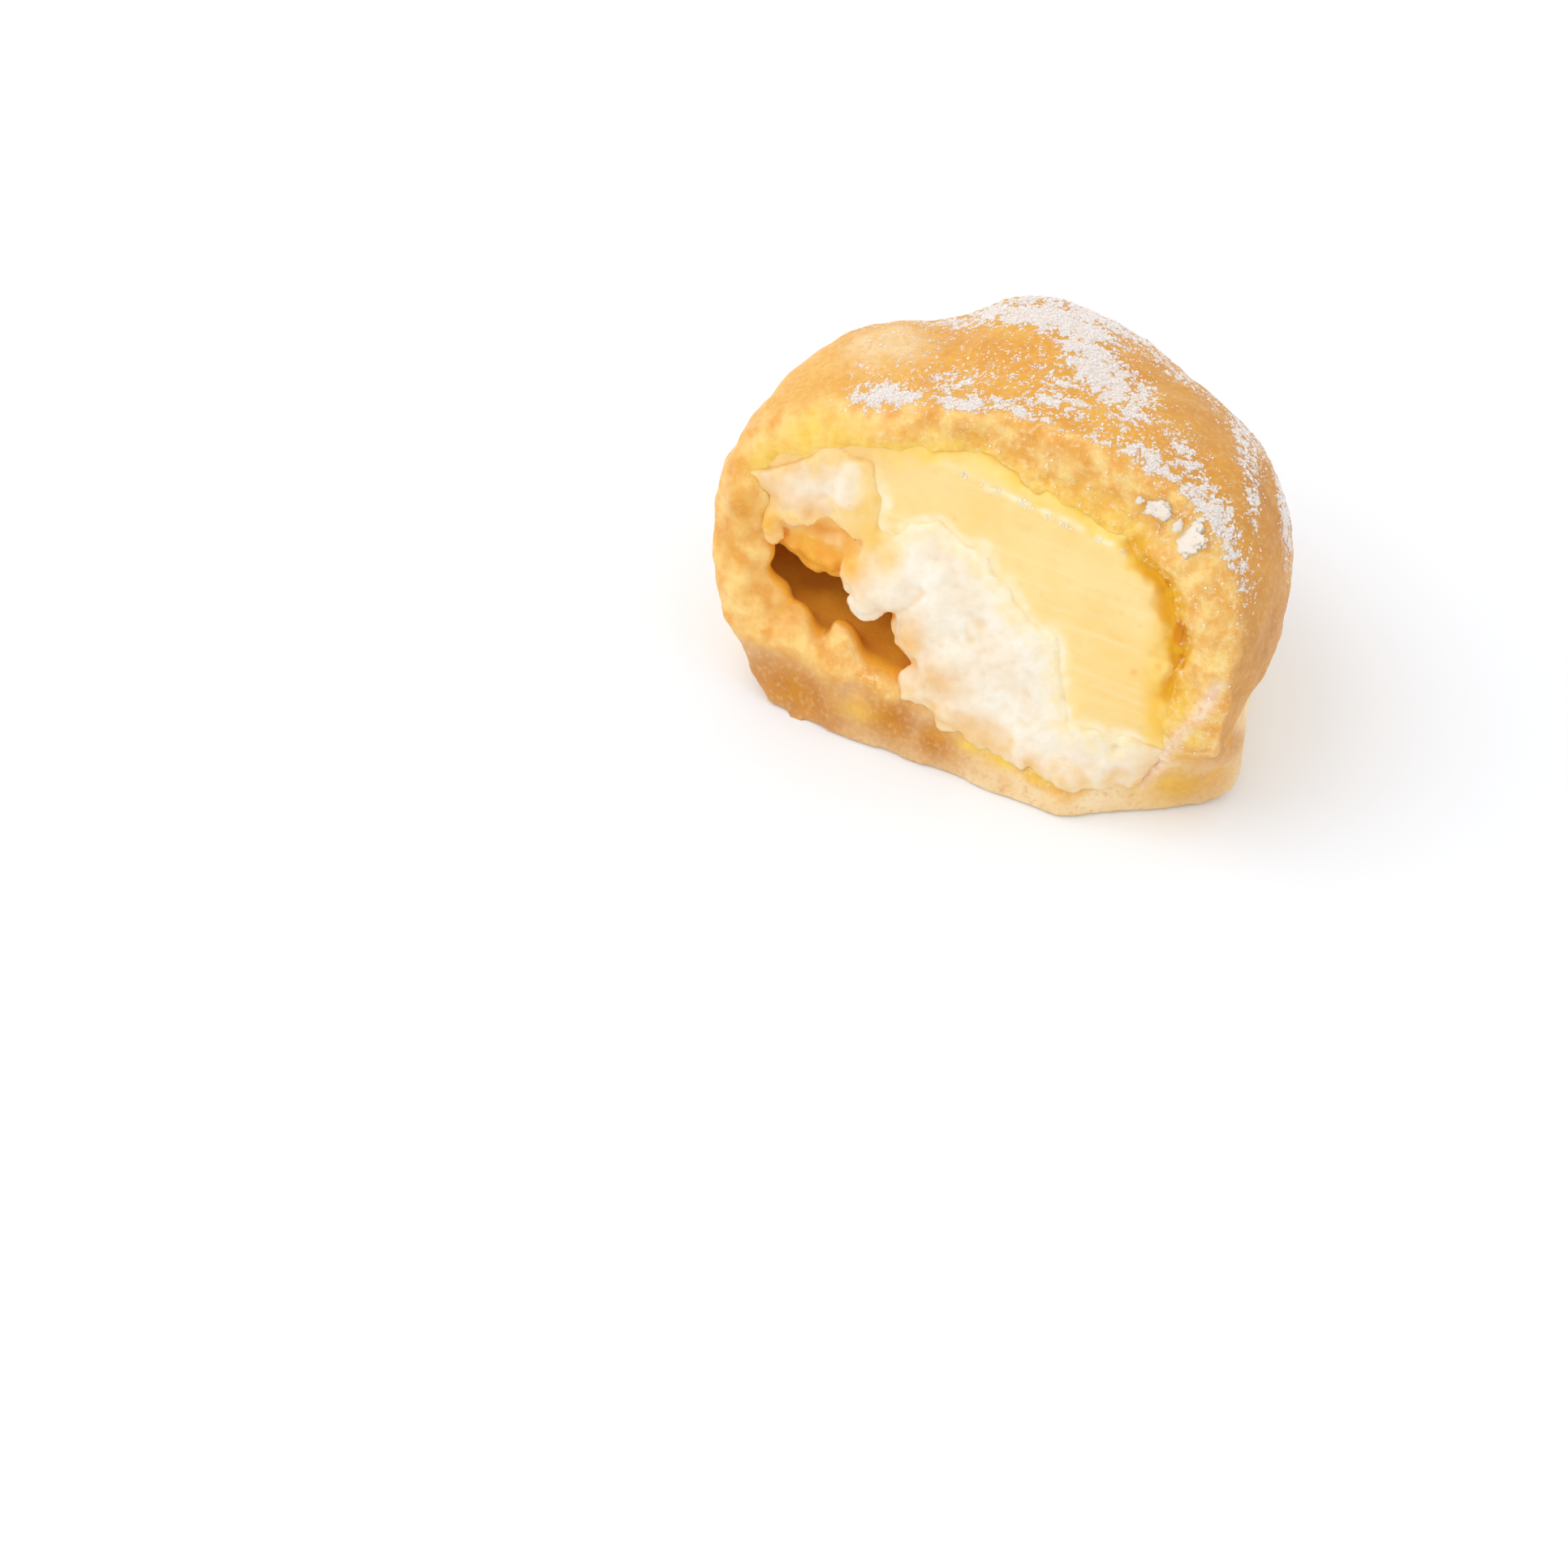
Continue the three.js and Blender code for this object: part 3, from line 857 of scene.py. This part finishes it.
def clouds_of(tree, place, size, first, second, detail=4.0, low=0.36, high=0.64):
    """Clouds of a size in millimetres, which drift between two colours."""
    clouds = add(tree, "TexNoise", {"Vector": place, "Scale": per_metre(size), "Detail": detail})
    share = add(tree, "MapRange", {"Value": clouds, "From Min": low, "From Max": high})
    return add(tree, "Mix", {"Factor": share, "A": colour(first), "B": colour(second)}, data_type="RGBA")


def lay_flecks(tree, surface, pattern, low, high, most, code, where=None):
    """Lays flecks of a colour over a surface's. They begin where a pattern passes low and reach
    their most at high, and a mask, where, can hold them to a place."""
    share = add(tree, "MapRange", {"Value": pattern, "From Min": low, "From Max": high, "To Max": most})
    if where:
        share = add(tree, "Math", {0: share, 1: where}, operation="MULTIPLY")
    return add(tree, "Mix", {"Factor": share, "A": surface, "B": colour(code)}, data_type="RGBA")


def lay_coats(tree, place, surface, coats):
    """Lays coats over a surface's colour: a mask, the size of its clouds, and their two colours."""
    for mask, size, first, second in coats:
        coat = clouds_of(tree, place, size, first, second)
        surface = add(tree, "Mix", {"Factor": mask_of(tree, mask), "A": surface, "B": coat}, data_type="RGBA")
    return surface


def scatter_less(tree, shader, weight, masks):
    """Sets the share of light that scatters under the surface: less where pieces touch, since the
    light would be lost between them."""
    touching = 0.0
    for mask in masks:
        touching = add(tree, "Math", {0: mask_of(tree, mask), 1: touching}, operation="MAXIMUM")
    share = add(tree, "MapRange", {"Value": touching, "To Min": weight, "To Max": 0.1})
    feed(shader, "Subsurface Weight", share)


def feed(shader, name, node):
    """Links a node's first output in use to a shader's input."""
    shader.id_data.links.new(next(s for s in node.outputs if s.enabled), shader.inputs[name])


def roughen(tree, shader, heights):
    """Bumps of some patterns, each with its height in millimetres."""
    bumpy = None
    for pattern, height in heights:
        below = {"Normal": bumpy} if bumpy else {}
        bumpy = add(tree, "Bump", {"Height": pattern, "Distance": height * MM, **below})
    feed(shader, "Normal", bumpy)


def set_shader(shader, **values):
    """Sets what is the same all over. A _ stands for a space in a socket's name."""
    for name, value in values.items():
        shader.inputs[name.replace("_", " ")].default_value = value


def wear(piece, material):
    piece.data.materials.clear()
    piece.data.materials.append(material)


# %% Fried dough
SKIN_COATS = (
    ("pale", 6.0, "#F3C46C", "#EAB04E"),
    # a browner crust together with painted shade on the side away from the lamp
    ("toasted", 4.0, "#CE9040", "#BE7E32"),
    ("amber", 3.0, "#E8A834", "#DE9630"),
    ("smear", 3.0, "#F4DCB4", "#EECC98"),
    ("base", 5.0, "#F9E0B4", "#F1CE98"),
    # browning of the base together with painted shade low on the cut and under the lip
    ("baked", 4.0, "#C0760E", "#CE8818"),
)
# painted shade in the groove and its pits: a dark gold, and a darker amber in the pits
GROOVE_COATS = (("crevice", 1.5, "#EAAE00", "#E2A000"), ("pit", 1.5, "#DA8A00", "#CE7C00"))
INNER_COATS = (
    # the soaked dough's amber, brightened as a painted glow of light through the thin wall
    ("hollow", 6.0, "#FFBC3C", "#FCAC30"),
    ("torn", 3.0, "#FAD482", "#EBAA4A"),
    ("soaked", 2.0, "#FCD668", "#F4C24A"),
    # painted shade in the creases: warmer and darker where the surface lies low
    ("sunken", 2.0, "#F7BA4C", "#F0AC40"),
    ("stained", 2.0, "#E39C00", "#DA9000"),
    ("butter", 2.0, "#F8D04E", "#F2BE3A"),
    *GROOVE_COATS,
    ("seam", 1.2, "#FAE6D2", "#F0C8A4"),
)


def fried_dough():
    """Yeast dough fried in oil: a thin film of fat gives it a soft gloss over fine blisters."""
    material, tree, shader, place = finish_for("fried_dough")
    body = clouds_of(tree, place, 7.0, "#E9B048", "#DE9C3A", detail=5.0)
    body = lay_coats(tree, place, body, SKIN_COATS)
    # pores: pale dots of half a millimetre all over, where the fat has drained
    pores = add(tree, "TexNoise", {"Vector": place, "Scale": per_metre(0.8), "Detail": 3.0})
    body = lay_flecks(tree, body, pores, 0.5, 0.72, 0.25, "#F7D8A2")
    body = lay_flecks(tree, body, pores, 0.48, 0.28, 0.35, "#D98E36")
    body = lay_coats(tree, place, body, INNER_COATS)
    # the torn crumb is spongy and wet: pale and amber flecks of a few tenths of a millimetre; the pale ones
    # are partly pale bubbles, partly painted highlights of its wet gloss
    spongy = mask_of(tree, "spongy")
    sponge = add(tree, "TexNoise", {"Vector": place, "Scale": per_metre(0.9), "Detail": 6.0,
                 "Roughness": 0.7})
    body = lay_flecks(tree, body, sponge, 0.52, 0.68, 0.7, "#FCE6B4", spongy)
    body = lay_flecks(tree, body, sponge, 0.46, 0.30, 0.5, "#E59C34", spongy)

    # sugar too fine to model: a powder in the same drifts, broken up by noise of its own grain
    grain = add(tree, "TexNoise", {"Vector": place, "Scale": per_metre(0.36), "Detail": 3.0})
    fallen = mask_of(tree, "sugar")
    amount = add(tree, "Math", {0: fallen, 1: 0.5, 2: grain}, operation="MULTIPLY_ADD")
    most = add(tree, "MapRange", {"Value": fallen, "From Max": 0.10, "To Max": 0.85})
    dusted = add(tree, "MapRange", {"Value": amount, "From Min": 0.62, "From Max": 0.82, "To Max": most})
    surface = add(tree, "Mix", {"Factor": dusted, "A": body, "B": colour("#F6ECE4")}, data_type="RGBA")
    feed(shader, "Base Color", surface)

    blisters = add(tree, "TexNoise", {"Vector": place, "Scale": per_metre(0.5), "Detail": 3.0})
    wet_sponge = add(tree, "Math", {0: sponge, 1: spongy}, operation="MULTIPLY")
    roughen(tree, shader, ((blisters, 0.12), (wet_sponge, 0.16), (dusted, 0.10)))
    wet = add(tree, "MapRange", {"Value": mask_of(tree, "torn"), "To Min": 0.46, "To Max": 0.24})
    gloss = add(tree, "Mix", {"Factor": mask_of(tree, "hollow"), "A": wet, "B": 0.8}, data_type="FLOAT")
    gloss = add(tree, "Mix", {"Factor": dusted, "A": gloss, "B": 0.9}, data_type="FLOAT")
    feed(shader, "Roughness", gloss)
    scatter_less(tree, shader, 0.4, ["soaked"])
    set_shader(shader, IOR=1.42, Subsurface_Radius=(1.0, 0.8, 0.5), Subsurface_Scale=0.8 * MM)
    return material


wear(crust, fried_dough())

# %% Set custard
CUSTARD_COATS = (
    ("by_cream", 2.0, "#FDECC8", "#FDE4AE"),
    # painted light: the slope over the ridge is a brighter yellow
    ("bevel", 5.0, "#FEDC7C", "#FCE09C"),
    ("by_dough", 3.0, "#FDD254", "#FCDC80"),
    # painted shade, over the deeper yellow of thin custard against the dough
    ("deep", 4.0, "#FAD678", "#F4C24A"),
    # painted shade in the creases: a deeper yellow where the surface lies low
    ("sunken", 2.0, "#FCC24A", "#F8B840"),
    ("doughy", 3.0, "#F0C488", "#F5CC7C"),
    ("ridge", 1.5, "#FFF1CE", "#FDE8B4"),
    *GROOVE_COATS,
)


def set_custard():
    """Egg custard, cold and firm: dense, fatty and smooth, so it glows and has a satin gloss."""
    material, tree, shader, place = finish_for("set_custard")
    face = clouds_of(tree, place, 9.0, "#FCDD98", "#FAD588", detail=3.0, low=0.38, high=0.62)
    # the knife's way: streaks drawn out to the lower right, a third of a millimetre and wider
    turned = add(tree, "Mapping", {"Vector": place, "Rotation": (0.0, math.radians(33.5), 0.0),
                 "Scale": (0.06, 0.3, 1.0)})
    streaks = add(tree, "TexNoise", {"Vector": turned, "Scale": per_metre(1.1), "Detail": 4.0})
    face = lay_flecks(tree, face, streaks, 0.5, 0.75, 0.35, "#FDE9B8")
    face = lay_coats(tree, place, face, CUSTARD_COATS)
    # a few drops of syrup, about a millimetre across
    drops = add(tree, "TexVoronoi", {"Vector": place, "Scale": per_metre(6.5)})
    face = lay_flecks(tree, face, drops, 0.12, 0.04, 0.5, "#F2B040")
    feed(shader, "Base Color", face)
    roughen(tree, shader, ((streaks, 0.10),))
    gloss = add(tree, "MapRange", {"Value": mask_of(tree, "crevice"), "To Min": 0.40, "To Max": 0.75})
    feed(shader, "Roughness", gloss)
    scatter_less(tree, shader, 0.5, ["by_dough", "by_cream"])
    set_shader(shader, IOR=1.40, Subsurface_Radius=(1.0, 0.9, 0.6), Subsurface_Scale=0.8 * MM)
    return material


wear(custard, set_custard())

# %% Whipped cream
CREAM_COATS = (
    # painted shade in the creases: a warm beige where the surface lies low
    ("sunken", 3.0, "#F6DDB4", "#F2CE9A"),
    ("by_custard", 2.0, "#FCEECC", "#FAE2AE"),
    # partly the dough through thin cream, partly painted warm light bounced from the dough
    ("by_dough", 3.0, "#F1C680", "#F5DDB4"),
    # thin cream over the dough, and painted warm shade at the lower left of the heap
    ("peachy", 3.0, "#EABE80", "#F0CC9A"),
    ("filmy", 2.0, "#F6D088", "#F8DA9C"),
    ("tongue", 3.0, "#F8D688", "#F5C768"),
    # an orange strand over the pocket, with painted shade of the pocket on the cream
    ("fold", 3.0, "#F4B648", "#F7CA70"),
    # painted warm shade of the air pocket, orange from its dough walls
    ("lined", 3.0, "#FFBE48", "#F8AA38"),
)


def whipped_cream():
    """Cream beaten full of air: white with a warm shade in its creases, and hardly any gloss."""
    material, tree, shader, place = finish_for("whipped_cream")
    white = clouds_of(tree, place, 5.0, "#F9EFDF", "#F4E4CC", detail=3.0, low=0.4, high=0.65)
    curds = add(tree, "TexNoise", {"Vector": place, "Scale": per_metre(1.6), "Detail": 5.0})
    white = lay_flecks(tree, white, curds, 0.5, 0.7, 0.4, "#F3E2C6")
    white = lay_coats(tree, place, white, CREAM_COATS)
    feed(shader, "Base Color", white)
    froth = add(tree, "TexNoise", {"Vector": place, "Scale": per_metre(1.0), "Detail": 5.0})
    roughen(tree, shader, ((froth, 0.20),))
    scatter_less(tree, shader, 0.6, ["by_custard", "by_dough"])
    set_shader(shader, Roughness=0.55, IOR=1.35, Subsurface_Radius=(1.0, 0.95, 0.85),
               Subsurface_Scale=0.9 * MM)
    return material


wear(cream, whipped_cream())

# %% [markdown]
# ## Icing sugar
# Sifted sugar lands as dust and as clots of a few tenths of a millimetre. Thousands of tiny solids,
# thrown on the crust where its map says sugar lies, give the gritty edge that a colour can't. A
# grain is a pyramid of four faces and a clot has twenty, so each kind stays a light mesh.

# %% Icing sugar: where the grains land
def scatter(piece, layer, count, seed):
    """Random places where a painted layer is above 0, their normals, and its amount there."""
    mesh = piece.data
    mesh.calc_loop_triangles()
    corners = numbers(mesh.loop_triangles, "vertices", 3, np.int32)
    amount = numbers(mesh.attributes[layer].data, "value", 1)[:, 0]
    a, b, c = (numbers(mesh.vertices, "co", 3)[corner] for corner in corners.T)
    normal = np.cross(b - a, c - a)
    area = np.linalg.norm(normal, axis=1)
    weight = area * (amount[corners].mean(axis=1) > 0.01)
    dice = np.random.default_rng(seed)
    picked = dice.choice(len(corners), size=count, p=weight / weight.sum())
    u, v = dice.random(count), dice.random(count)
    folded = u + v > 1
    u[folded], v[folded] = 1 - u[folded], 1 - v[folded]
    a, b, c = a[picked], b[picked], c[picked]
    places = a + (b - a) * u[:, None] + (c - a) * v[:, None]
    return places, normal[picked] / area[picked][:, None], amount[corners[picked]].mean(axis=1)


THROWN = 260000
THICK = 0.22  # more sugar than this is the middle of a clump
places, normals, amounts = scatter(crust, "fall", THROWN, seed=7)
dice = np.random.default_rng(11)
cover = np.array([clotting(Vector(p) / MM) for p in places])  # low where a clump is
held = (amounts - cover - 0.06) / 0.30 + 0.5 > dice.random(THROWN)
heavy = amounts - cover > THICK
print("of", THROWN, "grains thrown", held.sum(), "stay, and", heavy.sum(), "lie where it is thick")


# %% Icing sugar: the grains themselves
def grains(name, shape, places, normals, radii, seed):
    """One mesh with a rough copy of a small form on each place."""
    points = np.array([v.co[:] for v in shape.verts])
    faces = np.array([[v.index for v in f.verts] for f in shape.faces])
    shape.free()
    dice = np.random.default_rng(seed)
    count = len(places)
    bodies = points[None] * dice.uniform(0.6, 1.3, (count, len(points), 1))
    spin = np.linalg.qr(dice.normal(size=(count, 3, 3)))[0]
    spin *= np.sign(np.linalg.det(spin))[:, None, None]  # a turn, never a mirror
    bodies = np.einsum("nij,nkj->nki", spin, bodies) * radii[:, None, None]
    along = np.einsum("nki,ni->nk", bodies, normals)
    bodies -= 0.35 * along[:, :, None] * normals[:, None, :]
    bodies += (places + normals * radii[:, None] * 0.25)[:, None, :]
    all_faces = faces[None] + np.arange(count)[:, None, None] * len(points)
    mesh = bpy.data.meshes.new(name)
    mesh.from_pydata(bodies.reshape(-1, 3), [], all_faces.reshape(-1, 3).tolist())
    print(name, "has", count, "grains,", len(mesh.polygons), "triangles")
    return new_object(name, mesh)


GRAINS, GRAIN_RADIUS = 48000, 0.11
CLOTS, CLOT_RADIUS = 8500, 0.14
pyramid = bmesh.new()
bmesh.ops.create_cone(pyramid, cap_ends=True, segments=3, radius1=1.1, radius2=0.0, depth=1.6)
ball = bmesh.new()
bmesh.ops.create_icosphere(ball, subdivisions=1, radius=1.0)
sizes = dice.lognormal(mean=0.0, sigma=0.35, size=THROWN)
fine = np.flatnonzero(held)[:GRAINS]
radii = GRAIN_RADIUS * MM * sizes[fine].clip(0.5, 2.2)
sugar = grains("icing_sugar", pyramid, places[fine], normals[fine], radii, 12)
thick = np.flatnonzero(heavy)[-CLOTS:]
radii = CLOT_RADIUS * MM * sizes[thick].clip(0.6, 2.0)
clots = grains("sugar_clots", ball, places[thick], normals[thick], radii, 13)


# %% Icing sugar: its finish
def icing_sugar(name, first, second, frost=0.0):
    """Countless tiny crystals that scatter light: matt and nearly white. frost is the height of
    its fine bumps, in millimetres."""
    material, tree, shader, place = finish_for(name)
    tint = clouds_of(tree, place, 3.0, first, second, detail=2.0, low=0.0, high=1.0)
    feed(shader, "Base Color", tint)
    if frost:
        crystals = add(tree, "TexNoise", {"Vector": place, "Scale": per_metre(0.4), "Detail": 4.0})
        roughen(tree, shader, ((crystals, frost),))
    set_shader(shader, Roughness=0.8, IOR=1.5, Subsurface_Weight=0.2,
               Subsurface_Radius=(1.0, 0.8, 0.7), Subsurface_Scale=0.4 * MM)
    return material


powdered = icing_sugar("icing_sugar", "#FCF6F1", "#F6EAE3")
wear(sugar, powdered)
wear(clots, powdered)

# %% [markdown]
# ## Flakes of caked sugar
# Where sugar got damp it caked, and broke into flat flakes that lie by the cut. Each is a ball
# pressed thin, with a rim broken by noise, and lies on the crust with its own tilt.

# %% Flakes of caked sugar
FLAKES = (  # X, Y, Z, length, width, turn in degrees
    (28.4, -14, 44, 6.6, 3.9, 40), (24.2, -13.7, 46.5, 3.6, 2.4, 20), (23.8, -12.6, 46.4, 1.3, 0.9, 0),
    (21.6, -12.5, 46.8, 1.1, 0.9, 50), (29.9, -11.7, 46.5, 1.2, 1, 20), (27.6, -13, 45.2, 1.6, 1, 70),
)
FLAKE_THICKNESS = 0.6


def lay_lump(bm, tree, near, size, turn, sunk, rough, seed, detail):
    """A rough pressed ball of some size (length, width, height) on the surface nearest a place."""
    foot, normal = tree.find_nearest(near * MM)[:2]
    rim = bmesh.ops.create_icosphere(bm, subdivisions=detail, radius=0.5)["verts"]
    for v in rim:
        flat = Vector((v.co.x, v.co.y, 0.0)) * 4.0
        broken = uneven(flat, 2, seed) + 0.7 * uneven(v.co * 4.0, 0.8, seed + 5.0)
        v.co *= 1.0 + rough * (broken + 0.5 * uneven(v.co * 4.0, 0.35, seed + 9.0))
    lie = normal.to_track_quat("Z", "Y").to_matrix().to_4x4()
    own = Matrix.Rotation(math.radians(turn), 4, "Z") @ Matrix.Diagonal((*[side * MM for side in size], 1.0))
    lift = normal * size[2] * (0.5 - sunk) * MM
    bmesh.ops.transform(bm, verts=rim, matrix=Matrix.Translation(foot + lift) @ lie @ own)


crust_tree = tree_of(crust)
bm = bmesh.new()
for i, (x, y, z, length, width, turn) in enumerate(FLAKES):
    lay_lump(bm, crust_tree, Vector((x, y, z)), (length, width, FLAKE_THICKNESS), turn, 0.3, 0.40, 3.0 * i, 4)
flakes = new_piece("sugar_flakes", bm, icing_sugar("caked_sugar", "#F6EDE2", "#F0E0CC", 0.16))

# %% [markdown]
# ## Crumbs and bits
# A knife drags crumbs with it. They sit on the torn dough, and as pale bits in a row along the
# custard's ridge, where the blade wiped itself.

# %% Crumbs of dough on the cut
CRUMBS, CRUMB_SIZES = 110, (0.14, 0.5, 0.24)


def moist_crumb():
    """Bits of the dough's inside: pale, spongy and slightly wet."""
    material, tree, shader, place = finish_for("moist_crumb")
    tint = clouds_of(tree, place, 2.0, "#FFF6E2", "#FBE2A8", detail=2.0, low=0.0, high=1.0)
    feed(shader, "Base Color", tint)
    set_shader(shader, Roughness=0.35, Subsurface_Weight=0.3,
               Subsurface_Radius=(1.0, 0.8, 0.5), Subsurface_Scale=0.3 * MM)
    return material


dice = random.Random(17)
bm = bmesh.new()
places, normals = all_places(crust)
torn_places = [p for p, n in zip(places, normals)
               if torn_at(p, n) > 0.6 and p.x > -6.0 and p.z > 14.0 and outer_at(p, n) > 0.0]
for i in range(CRUMBS):
    length = dice.triangular(*CRUMB_SIZES)
    size = (length, length * dice.uniform(0.6, 0.9), length * dice.uniform(0.5, 0.8))
    lay_lump(bm, crust_tree, dice.choice(torn_places), size, dice.uniform(0.0, 180.0), 0.3, 0.25, i, 2)
crumbs = new_piece("crumbs", bm, moist_crumb())

# %% Pale bits along the custard's ridge
BIT_GROUPS = ((1, 1.6), (5.6, 0.9), (9, 2.2), (12.6, 1.2), (17, 0.7), (-3.5, 0.6), (21, 0.5))  # X, spread
BITS_IN_GROUP, BIT_SIZES = 10, (0.15, 0.75, 0.3)

custard_tree = tree_of(custard)
bm = bmesh.new()
for x, spread in BIT_GROUPS:
    for i in range(BITS_IN_GROUP):
        along = dice.gauss(x, spread * 0.6)
        height = RIDGE_HEIGHT - RIDGE_FALL * along + dice.gauss(-0.9, 0.25)
        length = dice.triangular(*BIT_SIZES)
        size = (length, length * dice.uniform(0.5, 0.8), length * dice.uniform(0.3, 0.45))
        lay_lump(bm, custard_tree, on_cut(along, height), size, dice.uniform(0.0, 180.0), 0.45, 0.25, i, 2)
bits = new_piece("ridge_bits", bm, crumbs.data.materials[0])

# %% [markdown]
# ## Bodies
# Nothing on a fritter moves, so each piece rides on the one body. The imported solids are hidden,
# and the carved pieces are shaded smooth.

# %% Bodies
for piece, slot in ((crust, "fried_dough"), (custard, "custard"), (cream, "whipped_cream")):
    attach(piece, "root")
for piece in (sugar, clots, flakes, crumbs, bits):
    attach(piece, "root")
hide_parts("dough_shell")
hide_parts("custard")
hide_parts("whipped_cream")
for piece in (crust, custard, cream, clots, flakes, crumbs, bits):
    piece.data.polygons.foreach_set("use_smooth", [True] * len(piece.data.polygons))

# %% [markdown]
# ## Floor, light and camera
# A bright, soft studio: a pale floor, a white sky, and one large soft lamp high at the left, so
# that the shadow falls softly to the right.

# %% Floor
bm = bmesh.new()
bmesh.ops.create_grid(bm, x_segments=1, y_segments=1, size=3.0)
matt, _, shader, _ = finish_for("pale_floor")
set_shader(shader, Base_Color=colour("#F7FAFE"), Roughness=0.9)
floor = new_piece("floor", bm, matt)

# %% Light
world = bpy.data.worlds.new("white_sky")
world.use_nodes = True
world.node_tree.nodes["Background"].inputs["Color"].default_value = colour("#FFFFFF")
world.node_tree.nodes["Background"].inputs["Strength"].default_value = 0.97
bpy.context.scene.world = world


def looking(name, data, azimuth, elevation, distance, right=0.0, up=0.0):
    """An object that looks at the fritter from two angles in degrees and a distance in metres, and
    is moved to its own right and up."""
    turn, rise = math.radians(azimuth), math.radians(elevation)
    back = Vector((math.sin(turn) * math.cos(rise), -math.cos(turn) * math.cos(rise), math.sin(rise)))
    to_right = Vector((math.cos(turn), math.sin(turn), 0.0))
    made = new_object(name, data)
    made.location = CENTRE + to_right * right + back.cross(to_right) * up + back * distance
    made.rotation_mode = "QUATERNION"
    made.rotation_quaternion = back.to_track_quat("Z", "Y")
    return made


soft_box = bpy.data.lights.new("key_lamp", "AREA")
soft_box.size = 0.8
soft_box.energy = 2.0
looking("key_lamp", soft_box, azimuth=-70.0, elevation=55.0, distance=0.9)

# %% Camera
lens = bpy.data.cameras.new("camera")
lens.lens = 85.0
lens.sensor_width = 36.0
lens.clip_start, lens.clip_end = 0.01, 20.0
bpy.context.scene.camera = looking("camera", lens, azimuth=28.0, elevation=46.0, distance=0.522,
                                   right=-33.9 * MM, up=-38.1 * MM)
bpy.context.scene.view_settings.view_transform = "Standard"

# %% Bring the scene up to date
bpy.context.view_layer.update()
